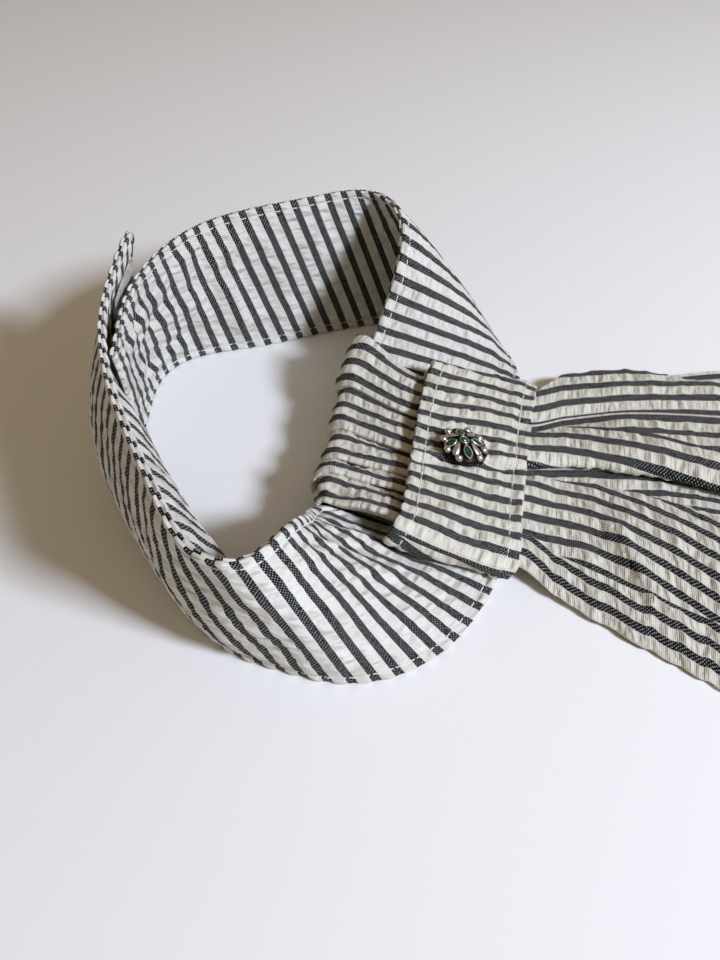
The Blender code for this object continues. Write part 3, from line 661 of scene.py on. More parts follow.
def rounded(controls, counts):
    """Rounded line that follows control points: a uniform cubic B-spline, counts[i] steps a span."""
    controls = np.asarray(controls, float)
    first = 2 * controls[:1] - controls[1:2]
    last = 2 * controls[-1:] - controls[-2:-1]
    points = np.concatenate([first, controls, last])
    line = []
    for i in range(len(controls) - 1):
        for step in range(counts[i]):
            t = step / counts[i]
            line.append((points[i] * (1 - t)**3
                         + points[i + 1] * (3 * t**3 - 6 * t**2 + 4)
                         + points[i + 2] * (-3 * t**3 + 3 * t**2 + 3 * t + 1)
                         + points[i + 3] * t**3) / 6)
    line.append(controls[-1])
    return np.array(line)


def hairpin(edge, inside, high, low):
    """Four control points that turn the cloth back on itself at an edge, from high to low."""
    return [(inside, high), (edge, 0.75 * high + 0.25 * low),
            (edge, 0.25 * high + 0.75 * low), (inside, low)]


def panel_controls(share, way):
    """Pleated section of the chin panel as control points, steps a span, and the controls at which
    each pleat has its lip and its fold underneath."""
    start = PANEL_START[0] + (PANEL_START[1] - PANEL_START[0]) * way
    bulge, edge_height, bulge_height = FAR_EDGE
    controls = [(start, edge_height), (start - bulge, bulge_height)]
    counts, lips, backs = [2, 3], [], []
    left = start
    for name, chin, sleeve, chin_crest, sleeve_crest, under, phase in PLEATS:
        lip = chin + (sleeve - chin) * way
        top = max((chin_crest + (sleeve_crest - chin_crest) * way) * share, LEAST_CREST)
        base = top - PLEAT_DEPTH
        back = lip - under / STRIPE
        if left == start:
            along, rise = FAR_RISE
            controls.append((left + along * (lip - left), top * rise))
            counts.append(20)
        else:
            along, rise = PLEAT_SHOULDER
            foot = left + PLEAT_FOOT
            controls += [(foot, lower), (foot + along * (lip - left), lower + (top - lower) * rise)]
            counts += [4, 9]
        lips.append(len(controls) + 1)
        controls += hairpin(lip, lip - HAIRPIN, top, (top + base) / 2)
        counts += [3, 3, 3, 4]
        if name != PLEATS[-1][0]:
            backs.append(len(controls) + 1)
            controls += hairpin(back, back + HAIRPIN, (top + base) / 2, base)
            counts += [3, 3, 3, 4]
        left, lower = lip, base
    controls.append((left - NEAR_EDGE[0], NEAR_EDGE[1]))
    starts = running(counts)
    return controls, counts[:len(controls) - 1], starts[lips], starts[backs]


def arc_lengths(grid, axis=1):
    """Distance of each point of a grid from its first column, or from its first row with axis 0."""
    return running(np.linalg.norm(np.diff(grid, axis=axis), axis=-1), axis)


def way_down(grid):
    """Distance of each point of a grid from its first row, averaged over the columns."""
    steps = np.linalg.norm(np.diff(grid, axis=0), axis=-1).mean(axis=1)
    return np.broadcast_to(running(steps)[:, None], grid.shape[:2])


def edge_cluster(grid, axes):
    """Grid with extra rows or columns close to its borders, so that an edge can be rounded."""
    fractions = np.array([0.04, 0.14, 0.32, 0.62])[:, None, None]
    for axis in axes:
        grid = np.moveaxis(grid, axis, 0)
        start = grid[:1] + (grid[1:2] - grid[:1]) * fractions
        end = grid[-1:] + (grid[-2:-1] - grid[-1:]) * fractions[::-1]
        grid = np.concatenate([grid[:1], start, grid[1:-1], end, grid[-1:]])
        grid = np.moveaxis(grid, 0, axis)
    return grid


def border_distance(grid, ring=False):
    """Distance of each point of a grid from its nearest border, in millimetres."""
    down = arc_lengths(grid, axis=0)
    near = np.minimum(down, down[-1:] - down)
    if ring:
        return near
    across = arc_lengths(grid)
    return np.minimum(near, np.minimum(across, across[:, -1:] - across))


def skins(middle, wall, relief, ring=False, thin=1.0, drawn=None):
    """Upper and lower skin of a piece of cloth with rounded edges: its underside lies as the solid's
    does, whose wall is given, and drawn is its own thickness. relief lifts the upper skin, and the
    lower one by the share thin."""
    drawn = drawn or wall
    normal = face_normals(middle, ring)
    near = np.clip(border_distance(middle, ring) / (drawn / 2), 0, 1)
    half = drawn / 2 * np.sqrt(near * (2 - near))
    rise = relief * smooth_step(near, 0, 1)
    middle = middle - normal * ((wall - drawn) / 2)
    return middle + normal * (half + rise)[..., None], middle - normal * (half - thin * rise)[..., None]


def panel_sheet():
    """Middle face of the chin panel and, for each column, the pleat whose stripes it carries."""
    places = np.arange(0, len(PANEL_PATH) - 0.999, 0.2)
    path = column_curve(np.arange(len(PANEL_PATH)), PANEL_PATH)(places)
    profile = []
    for inward, height, share, way in path:
        controls, counts, lips, backs = panel_controls(share, min(max(way, 0.0), 1.0))
        profile.append(rounded(controls, counts))
    profile = np.array(profile)
    tangent = unit(np.gradient(path[:, :2], axis=0))
    outward = np.stack([-tangent[:, 1], tangent[:, 0]], axis=1)
    # The near end is sewn down, so there the panel lies closer round the band's chin edge
    hug = smooth_step(profile[..., 0], 2.9, 4.2) * (1 - smooth_step(path[:, None, 3], 0.15, 0.7))
    closer = 1 - PANEL_HUG * hug
    inward = np.where(path[:, None, 0] < 0, closer, 1.0) * path[:, None, 0]
    inward = inward + profile[..., 1] * outward[:, None, 0] * closer
    height = (path[:, None, 1] + profile[..., 1] * outward[:, None, 1]) * closer
    return band_point(profile[..., 0], inward, height), lips, backs


panel, lips, backs = panel_sheet()
panel = edge_cluster(panel, (0,))
panel_arc = arc_lengths(panel)
panel_down = way_down(panel)
columns = np.arange(panel.shape[1])
pleat_of = np.searchsorted(backs, columns, side="right")
pleat_before = np.searchsorted(backs, columns, side="left")
phases = np.array([row[6] for row in PLEATS])


def panel_across(pleat):
    """Place in the stripes of each point, counted back from the lip of its pleat."""
    return panel_arc - panel_arc[:, lips[pleat]] + phases[pleat]


panel_after = np.stack([panel_across(pleat_of), panel_down], axis=-1)
panel_before = np.stack([panel_across(pleat_before), panel_down], axis=-1)
top_face = np.zeros(panel.shape[1])
for first, last in zip([0, *backs], lips):
    top_face[first + 3:last - 2] = 1.0
top_face = np.convolve(top_face, [0.25, 0.5, 0.25], mode="same")
crumple = 0.55 * waves(panel_down / 11.0, panel_arc / 2.6, 32)
relief = (PANEL_RIPPLE * puckers(panel_after[..., 0], panel_down, 31) + crumple) * top_face
upper, lower = skins(panel, CLOTH_WALL, relief, drawn=CLOTH)
# The panel's light stripes are the cream of painted shade
chin_panel = closed_cloth("chin_panel_cloth", upper, lower,
                          seersucker("seersucker along the pleats", white=PAINTED_SHADE_CREAM),
                          (panel_before, panel_after))
ready(chin_panel, "chin_panel", slot="seersucker_chin_panel")

# Keeper
# A short sleeve of doubled seersucker round the chin panel and the tails. Its open ends are turned
# in and topstitched 4 mm from the fold, and its stripes run from one open end to the other.
KEEPER_WALL = 1.2        # both layers
KEEPER_STITCH_IN = 4.0
KEEPER_RIPPLE = 0.50
SCALLOP = 0.45           # its open ends wave in and out with the stripes
# The crease under the jewel: its place round the sleeve at the left end, and its slant
CREASE_START = 29.6
CREASE_SLANT = 0.24
# Share of the band's width, middle and half width in band sections, height of the upper layer
SLEEVE_LEFT = (0.37, -0.22, 6.75, 11.6)
SLEEVE_RIGHT = (1.04, -1.12, 6.33, 9.4)
SLEEVE_FLOOR = 1.75      # height of the lower layer
SLEEVE_SIDES = 0.55      # roundness of the sides, the top and the bottom: 1 is an ellipse, 0 a box
SLEEVE_TOP = 0.5
SLEEVE_BOTTOM = 0.2


def sleeve_sheet(rows, columns):
    """Middle face of the keeper, with its points evenly spaced round the sleeve."""
    grid = []
    for row in np.linspace(0, 1, rows):
        share, middle, half, top = [a + (b - a) * row for a, b in zip(SLEEVE_LEFT, SLEEVE_RIGHT)]
        angle = np.linspace(0, 2 * math.pi, 1441)
        cosine, sine = np.cos(angle), np.sin(angle)
        section = middle + half * np.sign(cosine) * np.abs(cosine)**SLEEVE_SIDES
        power = np.where(sine > 0, SLEEVE_TOP, SLEEVE_BOTTOM)
        rise = (top - SLEEVE_FLOOR) / 2
        height = SLEEVE_FLOOR + rise * (1 + np.sign(sine) * np.abs(sine)**power)
        reach = running(np.hypot(np.diff(section) * STRIPE, np.diff(height)))
        even = np.linspace(0, reach[-1], columns, endpoint=False)
        section, height = np.interp(even, reach, section), np.interp(even, reach, height)
        grid.append(band_point(section, share * band_width(section), height))
    return np.array(grid)


sleeve = edge_cluster(sleeve_sheet(46, 190), (0,))
closed = np.concatenate([sleeve, sleeve[:, :1]], axis=1)
sleeve_arc, sleeve_round = np.split(arc_lengths(closed), [-1], axis=1)
sleeve_down = way_down(sleeve)
# The cloth lies askew above the crease: its stripes run down to the left end
askew = 2.6 * (1 - smooth_step(sleeve_down, 0, 26)) * smooth_step(sleeve_arc, 30, 36)
askew *= 1 - smooth_step(sleeve_arc, 66, 80)
sleeve_after = np.stack([sleeve_arc + askew, sleeve_down], axis=-1)
sleeve_before = sleeve_after.copy()
sleeve_before[:, 0, 0] += sleeve_round[:, 0]
end_distance = np.minimum(sleeve_down, sleeve_down[-1:] - sleeve_down)
margin = np.sin(math.pi * np.clip(end_distance / KEEPER_STITCH_IN, 0, 1))
stitched = np.exp(-((end_distance - KEEPER_STITCH_IN) / 0.6)**2)
relief = (KEEPER_RIPPLE * puckers(sleeve_arc, sleeve_down, 41) * smooth_step(end_distance, 0, 2)
          + 0.25 * margin * light_share(sleeve_arc) - 0.22 * stitched)
# Loose cloth hangs over the crease
crease = sleeve_arc - CREASE_START - CREASE_SLANT * sleeve_down
relief += 1.0 * np.exp(-((crease - 2.4) / 1.5)**2) - 1.5 * np.exp(-(crease / 1.0)**2)
relief += 0.5 * waves(sleeve_down / 9.0, sleeve_arc / 7.0, 43)
outward = face_normals(sleeve, ring=True)
along_sleeve = unit(bisector(sleeve, 0, False))
scallop = (light_share(sleeve_arc) - 0.5) * SCALLOP * np.exp(-(end_distance / 1.5)**2)
scallop *= np.where(np.arange(len(sleeve))[:, None] < len(sleeve) / 2, -1, 1)
sleeve = sleeve + along_sleeve * scallop[..., None]
keeper_upper, keeper_lower = skins(sleeve, KEEPER_WALL, relief, ring=True, thin=0.2)
# The keeper's light stripes are the cream of painted shade
keeper = closed_cloth("keeper_cloth", keeper_upper, keeper_lower,
                      seersucker("seersucker of the keeper", white=PAINTED_SHADE_CREAM),
                      (sleeve_before, sleeve_after), ring=True)
ready(keeper, "keeper", slot="seersucker_keeper")
keeper_lines = []
for distance in (KEEPER_STITCH_IN, sleeve_down[-1, 0] - KEEPER_STITCH_IN):
    row = int(np.abs(sleeve_down[:, 0] - distance).argmin())
    keeper_lines.append((keeper_upper[row], outward[row]))
keeper_stitches = topstitching("keeper_topstitching", keeper_lines)
ready(keeper_stitches, slot="seersucker_keeper")

# Tails
# Two strips of seersucker, one on the other, gathered into the keeper and spreading over the table.
# The front one has an inverted pleat. Both are hemmed, and their stripes run along them.
HEM = 9.0                # width of the hems
TAIL_FLOOR = 4.65        # height of each tail's lowest layer inside the keeper
BACK_FLOOR = 3.35
SEAM_GAP = 0.3           # air between the tails
TAIL_RIPPLE = 0.62
BACK_RIPPLE = 0.15
BACK_PHASE = -2.6        # from the back tail's far edge to its first dark stripe
# Inside the keeper: share of the band's width, section of the far edge and of the near one
TAIL_INSIDE = ((0.76, -6.7, 5.3), (0.90, -6.85, 5.0), (1.03, -7.0, 4.75))
BACK_TAIL_INSIDE = ((0.76, -5.6, 3.9), (0.90, -5.8, 3.7), (1.03, -6.0, 3.5))
# On the table: x and y of the far edge, then of the near one
TAIL_OUTSIDE = (
    ((69.0, 43.4), (54.5, -46.8)),
    ((91.0, 47.0), (74.0, -61.0)),
    ((121.0, 41.0), (101.0, -78.5)),
    ((160.0, 39.5), (141.0, -87.0)),
    ((205.0, 41.0), (188.0, -93.0)),
    ((247.0, 40.0), (233.0, -97.0)),
)
BACK_TAIL_OUTSIDE = (
    ((69.5, 40.0), (56.0, -33.0)),
    ((91.5, 45.5), (76.0, -46.0)),
    ((121.5, 50.0), (103.0, -62.0)),
    ((160.0, 53.0), (143.0, -74.0)),
    ((205.0, 54.0), (190.0, -80.0)),
    ((241.0, 53.0), (229.0, -84.0)),
)
# Dent over the near swell: a point of it, its slant and its width
DENT_X = 69.0
DENT_Y = -22.0
DENT_SLANT = 0.30
DENT_WIDTH = 3.2
PLEAT_TURN = (5.5, 6.0, 7.0, 8.0, 8.0, 8.0, 8.0)    # depth turned under at each place of the tables
SPAN_STEPS = {"middle edge": 7, "near valley": 9, "near hem": 8}    # from a fold to the next, or 12
# Share of the way across at the sleeve, nearest, next, at 120, 160, 205 mm and at the end; then the
# height over the lowest layer there. A single number holds all the way
FRONT_FOLDS = (
    ("far edge", 0.0, (1.6, 3.8, 3.0, 1.6, 1.0, 0.6, 0.3)),
    ("far swell", (0.12, 0.12, 0.10, 0.05, 0.08, 0.09, 0.10), (2.5, 4.2, 5.0, 3.0, 2.6, 2.2, 1.6)),
    ("valley", (0.25, 0.24, 0.20, 0.12, 0.14, 0.16, 0.17), (0.9, 1.4, 1.4, 1.2, 1.0, 0.8, 0.6)),
    ("middle edge", (0.28, 0.265, 0.315, 0.345, 0.34, 0.34, 0.34), (1.6, 2.6, 6.0, 6.4, 5.4, 4.4, 3.4)),
    ("middle swell", (0.40, 0.37, 0.39, 0.40, 0.39, 0.39, 0.39), (2.9, 5.0, 6.2, 5.8, 5.0, 4.2, 3.4)),
    ("upper lip", (0.51, 0.465, 0.455, 0.44, 0.45, 0.46, 0.46), (2.9, 4.2, 4.8, 4.6, 4.2, 3.8, 3.2)),
    ("lower lip", (0.57, 0.545, 0.545, 0.535, 0.54, 0.54, 0.54), (2.9, 4.0, 4.4, 4.4, 4.0, 3.6, 3.2)),
    ("near swell", (0.70, 0.72, 0.72, 0.70, 0.69, 0.68, 0.68), (2.9, 5.0, 6.0, 6.0, 5.0, 4.2, 3.6)),
    ("near valley", (0.87, 0.88, 0.88, 0.86, 0.85, 0.84, 0.84), (1.0, 1.6, 1.4, 1.8, 1.6, 1.2, 0.8)),
    ("near hem", 0.94, (1.8, 2.2, 1.6, 1.4, 1.0, 0.4, 0.0)),
    ("near edge", 1.0, (0.4, -0.4, -1.2, -1.3, -1.3, -1.3, -1.3)),
)
BACK_FOLDS = (
    ("far edge", 0.0, (0.0, 0.0, 0.4, 1.4, 1.4, 1.0, 0.6)),
    ("far part", (0.06, 0.06, 0.05, 0.04, 0.04, 0.04, 0.04), (0.0, 0.0, 0.0, 0.3, 0.3, 0.2, 0.1)),
    ("flat part", (0.14, 0.14, 0.12, 0.09, 0.09, 0.09, 0.09), 0.0),
    ("middle", 0.55, 0.0),
    ("near part", 0.80, 0.0),
    ("near edge", 1.0, 0.0),
)


def steady_curve(knots, values):
    """Smooth curve through the rows of values that never swings past a row."""
    knots = np.asarray(knots, float)
    gap = np.diff(knots)[:, None]
    slope = np.diff(values, axis=0) / gap
    before, after = slope[:-1], slope[1:]
    both = before * after
    middle = np.where(both > 0, 2 * both / np.where(both > 0, before + after, 1.0), 0.0)
    tangent = np.concatenate([slope[:1], middle, slope[-1:]])

    def at(where):
        where = np.asarray(where, float)
        i = np.clip(np.searchsorted(knots, where) - 1, 0, len(knots) - 2)
        width = gap[i]
        t = (where - knots[i])[:, None] / width
        return (values[i] * (1 + 2 * t) * (1 - t)**2 + values[i + 1] * t**2 * (3 - 2 * t)
                + width * (tangent[i] * t * (1 - t)**2 - tangent[i + 1] * t**2 * (1 - t)))
    return at


def tail_controls(folds, column, width):
    """Control points of a tail's cross section with its steps a span, and the column at which each
    fold of the table stands."""
    controls, counts, places = [], [], {}
    for name, *entries in folds:
        share, height = (entry[column] if isinstance(entry, tuple) else entry for entry in entries)
        if name.endswith("lip"):
            turn = PLEAT_TURN[column] / width
            bend = HAIRPIN * STRIPE / width
            high = max(height, 2 * LAYER)
            if name == "upper lip":
                places[name] = sum(counts) + 2
                controls += hairpin(share, share - bend, high, high / 2)
                places["under upper lip"] = sum(counts) + 16
                controls += hairpin(share - turn, share - turn + bend, high / 2, 0.0)
                counts += [2, 2, 3, 8, 2, 2, 3, 23]
            else:
                places["under lower lip"] = sum(counts) + 2
                controls += hairpin(share + turn, share + turn - bend, 0.0, high / 2)
                places[name] = sum(counts) + 16
                controls += hairpin(share, share + bend, high / 2, high)
                counts += [2, 2, 3, 8, 2, 2, 3, 18]
        else:
            places[name] = sum(counts)
            controls.append((share, height))
            counts.append(SPAN_STEPS.get(name, 12))
    return controls, counts, places


def tail_sheet(folds, inside, outside, inside_floor, table_floor, spacing):
    """Middle face of a tail, and the column at which each fold stands."""
    stations = []
    for share, first, last in inside:
        controls, counts, places = tail_controls(folds, 0, STRIPE * (last - first))
        profile = rounded(controls, counts)
        section = first + (last - first) * profile[:, 0]
        stations.append(band_point(section, share * band_width(section),
                                   inside_floor + profile[:, 1]))
    for column, (far, near) in enumerate(outside):
        far, near = np.array(far), np.array(near)
        controls, counts, places = tail_controls(folds, column + 1, np.linalg.norm(near - far))
        profile = rounded(controls, counts)
        flat = far + (near - far) * profile[:, :1]
        stations.append(np.concatenate([flat, table_floor + profile[:, 1:]], axis=1))
    stations = np.array(stations)
    middle = stations.mean(axis=1)
    knots = running(np.linalg.norm(np.diff(middle, axis=0), axis=1))
    curve = steady_curve(knots, stations.reshape(len(stations), -1))
    rows = np.linspace(0, knots[-1], int(knots[-1] / spacing))
    return curve(rows).reshape(len(rows), -1, 3), places


tail, places = tail_sheet(FRONT_FOLDS, TAIL_INSIDE, TAIL_OUTSIDE, TAIL_FLOOR,
                          CLOTH_WALL * 1.5 + SEAM_GAP, 0.83)
tail = edge_cluster(tail, (0, 1))
# That adds four columns before the first fold
shifted = {name: column + 4 if column else 0 for name, column in places.items()}
shifted["near edge"] = tail.shape[1] - 1
hem_wave = waves(way_down(tail)[:, :1] / 2.3, 0.0, 53)
for edge in (0, -1):
    close_by = np.linalg.norm(tail - tail[:, [edge]], axis=-1)
    tail[..., 1] += 0.45 * hem_wave * np.exp(-(close_by / 4)**2)
tail_arc = arc_lengths(tail)
tail_down = way_down(tail)
# How the stripes run between the folds: the zone's last fold, the fold that they are measured from,
# the least way, and the place in the stripes as a + b * distance + (c + d * distance) * way
# + (e + f * distance) * way * way, where way is 1 at 50 mm down the tail
STRIPE_RUNS = (
    ("valley", "valley", 0.0, 12.04, 0.684, -3.04, 0.311, 2.34, -0.166),
    ("middle edge", "valley", 1.45, -0.17, 0.137, -1.14, 0.379, 0.0, 0.0),
    ("under upper lip", "upper lip", 0.0, 13.44, 0.644, -7.36, 0.528, 1.21, -0.327),
    ("under lower lip", "under upper lip", 0.9, -4.07, -0.054, -2.43, 0.899, 0.0, 0.0),
    ("near valley", "lower lip", 0.0, -2.45, 1.012, -6.66, 0.013, -2.36, -0.086),
    ("near edge", "near edge", 0.0, 10.3, 1.0, 0.0, 0.0, 0.0, 0.0),
)
tail_zones = []
for last, origin, least, a, b, c, d, e, f in STRIPE_RUNS:
    way = np.clip(tail_down / 50, least, 1.5)
    distance = tail_arc - tail_arc[:, [shifted[origin]]]
    tail_zones.append(a + b * distance + (c + d * distance) * way + (e + f * distance) * way**2)
zone_ends = [shifted[run[0]] for run in STRIPE_RUNS[:-1]]
columns = np.arange(tail.shape[1])
zone_after = np.searchsorted(zone_ends, columns, side="right")
zone_before = np.searchsorted(zone_ends, columns, side="left")
stacked = np.stack(tail_zones)
across_after = stacked[zone_after, :, columns].T
across_before = stacked[zone_before, :, columns].T
tail_after = np.stack([across_after, tail_down], axis=-1)
tail_before = np.stack([across_before, tail_down], axis=-1)
fold_distance = np.min([np.abs(tail_arc - tail_arc[:, [column]]) for column in zone_ends], axis=0)
hem = np.minimum(tail_arc, tail_arc[:, -1:] - tail_arc)
hem = np.minimum(hem, tail_down[-1:] - tail_down)
relief = 0.2 * (1 - smooth_step(hem, HEM - 0.2, HEM + 0.6)) * smooth_step(tail_down, 20, 30)
relief += TAIL_RIPPLE * puckers(across_after, tail_down, 51) * smooth_step(fold_distance, 0, 2.5)
relief += 0.7 * waves(tail_down / 16.0, tail_arc / 9.0, 52) * smooth_step(fold_distance, 0, 5)
dent = (tail[..., 0] - DENT_X - DENT_SLANT * (DENT_Y - tail[..., 1])) / DENT_WIDTH
reach = smooth_step(-tail[..., 1], 18, 26) * (1 - smooth_step(-tail[..., 1], 44, 56))
relief += reach * (1.1 * np.exp(-(dent + 1.6)**2) - 2.0 * np.exp(-dent**2))
upper, lower = skins(tail, CLOTH_WALL, relief, thin=0.6, drawn=CLOTH)
# The front tail's light stripes are the cream of painted shade
tail_front = closed_cloth("tail_front_cloth", upper, lower,
                          seersucker("seersucker of the front tail", white=PAINTED_SHADE_CREAM),
                          (tail_before, tail_after))
ready(tail_front, "tail_front", slot="seersucker_tail_front")

hem_lines = [line_over(upper, tail_arc, HEM, 32), line_over(upper, tail_arc, -HEM, 26)]
end_row = int(np.abs(tail_down[:, 0] - tail_down[-1, 0] + HEM).argmin())
end_columns = slice(12, -12)
hem_lines.append((upper[end_row, end_columns], face_normals(upper)[end_row, end_columns]))
hem_stitches = topstitching("tail_front_hem_stitches", hem_lines, length=1.7, radius=0.12)
ready(hem_stitches, slot="seersucker_tail_front")

back = tail_sheet(BACK_FOLDS, BACK_TAIL_INSIDE, BACK_TAIL_OUTSIDE, BACK_FLOOR, CLOTH_WALL / 2, 1.2)[0]
back = edge_cluster(back, (0, 1))
back_arc = arc_lengths(back)
back_down = way_down(back)
back_uv = np.stack([back_arc + BACK_PHASE, back_down], axis=-1)
relief = BACK_RIPPLE * puckers(back_uv[..., 0], back_down, 61)
upper, lower = skins(back, CLOTH_WALL, relief, thin=0.0, drawn=CLOTH)
# The back tail's light stripes are the cream of painted shade
tail_back = closed_cloth("tail_back_cloth", upper, lower,
                         seersucker("seersucker of the back tail", white=PAINTED_SHADE_CREAM), (back_uv, back_uv))
ready(tail_back, "tail_back", slot="seersucker_tail_back")

# Jewel
# A cast and plated metal button: a low dome with a scalloped edge, silver leaves, a ring of small
# balls and a four-petalled flower of green glass stones in collets. It is pinned to the keeper.
JEWEL_SEAT = (-0.65, 0.66)       # band section, and share of the band's width
JEWEL_LIFT = 0.45                # off the keeper's cloth
JEWEL_LEAN = (-0.30, -0.20)      # mm that the dome leans along and across the band for each mm up
JEWEL_SAG = -1.0                 # it hangs a little towards the near side
JEWEL_RADIUS = 6.9
SCALLOPS = 10
SCALLOP_DEPTH = 0.28
RIM = (0.2, 0.95, 0.42, 0.5)     # rolled rim: its middle's place in from the edge and height, half sizes
# Outline of the cup: share of the radius, height, share of the scalloping
CUP = ((0.72, 0.0, 0.0), (0.90, 0.1, 0.6), (1.00, 0.6, 1.0), (0.98, 1.2, 1.0),
       (0.86, 1.6, 0.5), (0.66, 2.7, 0.0), (0.42, 3.5, 0.0), (0.16, 3.9, 0.0), (0.0, 3.95, 0.0))
# Angle, distance of its middle from the axis, half length and half width of a stone
PETALS = ((17, 3.85, 1.85, 0.95), (113, 3.3, 1.75, 0.95), (203, 4.05, 1.9, 0.95), (289, 3.7, 1.9, 1.0))
# How much wider than its stone the collet is, and height, round its wall
COLLET = ((0.05, -0.9), (0.30, -0.8), (0.34, 0.45), (0.24, 0.62), (0.06, 0.58), (0.03, 0.35))
# Radius and height, round the wall of the middle stone's collet
CENTRE_COLLET = ((1.05, -0.5), (1.42, -0.4), (1.42, 0.45), (1.3, 0.6), (1.12, 0.55), (1.08, 0.3))
CENTRE_HEIGHT = 3.9
# Share of a petal's length and of its width, and height, from its foot to its table
PETAL_CUT = ((0.9, 0.9, -0.1), (1.0, 1.0, 0.35), (0.78, 0.72, 0.72), (0.5, 0.42, 0.86))
# Radius and height of the middle stone
CENTRE_CUT = ((0.9, 0.05), (1.05, 0.35), (0.85, 0.75), (0.55, 0.95))
BEADS = (144, 180, 218, 258, 322, 358, 42, 82)      # angles of the balls
BEAD_PLACE = (5.95, 2.1)         # distance from the axis, and height
BEAD_RADIUS = 1.2
# Angle, distance, half length, half width and twist of a leaf
LEAVES = ((240, 4.0, 2.4, 1.4, 12), (333, 4.1, 2.4, 1.4, -14), (160, 4.0, 2.2, 1.2, 16),
          (62, 3.9, 1.9, 1.1, -10))
LEAF_HEIGHT = 0.62
LEAF_LIFT = 0.3
DOME_STEP = 0.6          # reach over which the dome's slope is taken


def jewel_frame():
    """Matrix that puts the jewel on the keeper, its axis along the cloth's normal."""
    section, share = JEWEL_SEAT
    way = (share - SLEEVE_LEFT[0]) / (SLEEVE_RIGHT[0] - SLEEVE_LEFT[0])
    top = SLEEVE_LEFT[3] + (SLEEVE_RIGHT[3] - SLEEVE_LEFT[3]) * way
    inward = share * band_width(section)
    seat = band_point(section, inward, top + KEEPER_WALL / 2 + JEWEL_LIFT)
    surface = band_point(section, inward, top)
    normal = Vector(band_point(section, inward, top + STRIPE) - surface).normalized()
    right = Vector(band_point(section, inward + STRIPE, top) - surface).normalized()
    run = (SLEEVE_RIGHT[0] - SLEEVE_LEFT[0]) * float(band_width(section))
    right = (right - normal * (SLEEVE_LEFT[3] - SLEEVE_RIGHT[3]) / run).normalized()
    normal = (normal - right * normal.dot(right)).normalized()
    placed = Matrix((right, normal.cross(right), normal)).transposed().to_4x4()
    placed.translation = Vector(seat)
    lean = Matrix(((1, 0, JEWEL_LEAN[0], 0), (0, 1, JEWEL_LEAN[1], JEWEL_SAG), (0, 0, 1, 0),
                   (0, 0, 0, 1)))
    return placed @ lean


JEWEL = jewel_frame()
cup_curve = column_curve(np.linspace(0, 1, len(CUP)), CUP)


def dome_height(distance):
    """Height of the cup's outside at a distance from its axis."""
    rings = np.array(CUP[2:])
    return float(np.interp(-distance, -rings[:, 0] * JEWEL_RADIUS, rings[:, 1]))


def cast_piece(name, made, material, smooth=True):
    """Object from a bmesh in the jewel's own millimetres."""
    made.transform(Matrix.Scale(0.001, 4) @ Matrix.Translation(ORIGIN) @ JEWEL)
    bmesh.ops.recalc_face_normals(made, faces=made.faces)
    mesh = bpy.data.meshes.new(name)
    made.to_mesh(mesh)
    made.free()
    if smooth:
        mesh.shade_smooth()
    mesh.materials.append(material)
    return new_object(name, mesh)


def on_dome(angle, distance, lift=0.0):
    """Matrix of a place on the dome: its X points away from the axis, its Z out of the dome."""
    fall = dome_height(distance - DOME_STEP) - dome_height(distance + DOME_STEP)
    lean = Matrix.Rotation(math.atan2(fall, 2 * DOME_STEP), 4, "Y")
    place = Matrix.Translation((distance, 0, dome_height(distance) + lift))
    return Matrix.Rotation(math.radians(angle), 4, "Z") @ place @ lean


def lens_outline(length, width, count):
    """Points round a pointed oval: two arcs that meet in its tips."""
    points = []
    for i in range(count):
        turn = 2 * math.pi * i / count
        x = math.cos(turn)
        points.append((length * x, width * math.copysign(1 - x * x, math.sin(turn))))
    return points


def circle(radius, count):
    """Points round a circle."""
    turns = [2 * math.pi * i / count for i in range(count)]
    return [(radius * math.cos(turn), radius * math.sin(turn)) for turn in turns]


def loop_faces(made, rings, capped=False):
    """Faces between rings of vertices that follow each other."""
    for low, high in zip(rings, rings[1:]):
        for i in range(len(low)):
            j = (i + 1) % len(low)
            made.faces.new((low[i], low[j], high[j], high[i]))
    if capped:
        made.faces.new(rings[0][::-1])
        made.faces.new(rings[-1])


def scalloped_ring(made, share, height, scallop=1.0, inset=0.0, grow=0.0):
    """Ring of vertices round the cup at a share of its radius, scalloped by a share of the full depth,
    and moved in by inset and out by grow."""
    ring = []
    for i in range(SCALLOPS * 10):
        angle = 2 * math.pi * i / (SCALLOPS * 10)
        dip = SCALLOP_DEPTH * max(scallop, 0) * (1 - abs(math.cos(SCALLOPS * angle / 2)))
        radius = JEWEL_RADIUS * share - dip - inset + grow
        ring.append(made.verts.new((radius * math.cos(angle), radius * math.sin(angle), height)))
    return ring


def antique_silver(name, bright, dark, roughness):
    """Antique silver plate: polished high spots over a ground blackened in the hollows, in blotches of
    1.4 mm."""
    return two_tone(name, "ShaderNodeTexNoise", {"Scale": 700.0, "Detail": 4.0}, 0, (bright, dark),
                    0.00003, {"Metallic": 1.0, "Roughness": roughness})


cup = bmesh.new()
cup_rings = [scalloped_ring(cup, *row) for row in cup_curve(np.linspace(0, 0.985, 34))]
loop_faces(cup, cup_rings, capped=True)
inset, middle, wide, high = RIM
turns = [2 * math.pi * i / 8 for i in range(8)]
rim = [scalloped_ring(cup, 1.0, middle + high * math.sin(turn), 1.0, inset, wide * math.cos(turn))
       for turn in turns]
loop_faces(cup, rim + rim[:1])
jewel_cup = cast_piece("jewel_cup", cup, antique_silver("blackened silver", "#2b2825", "#060505", 0.42))
ready(jewel_cup, slot="antique_silver")

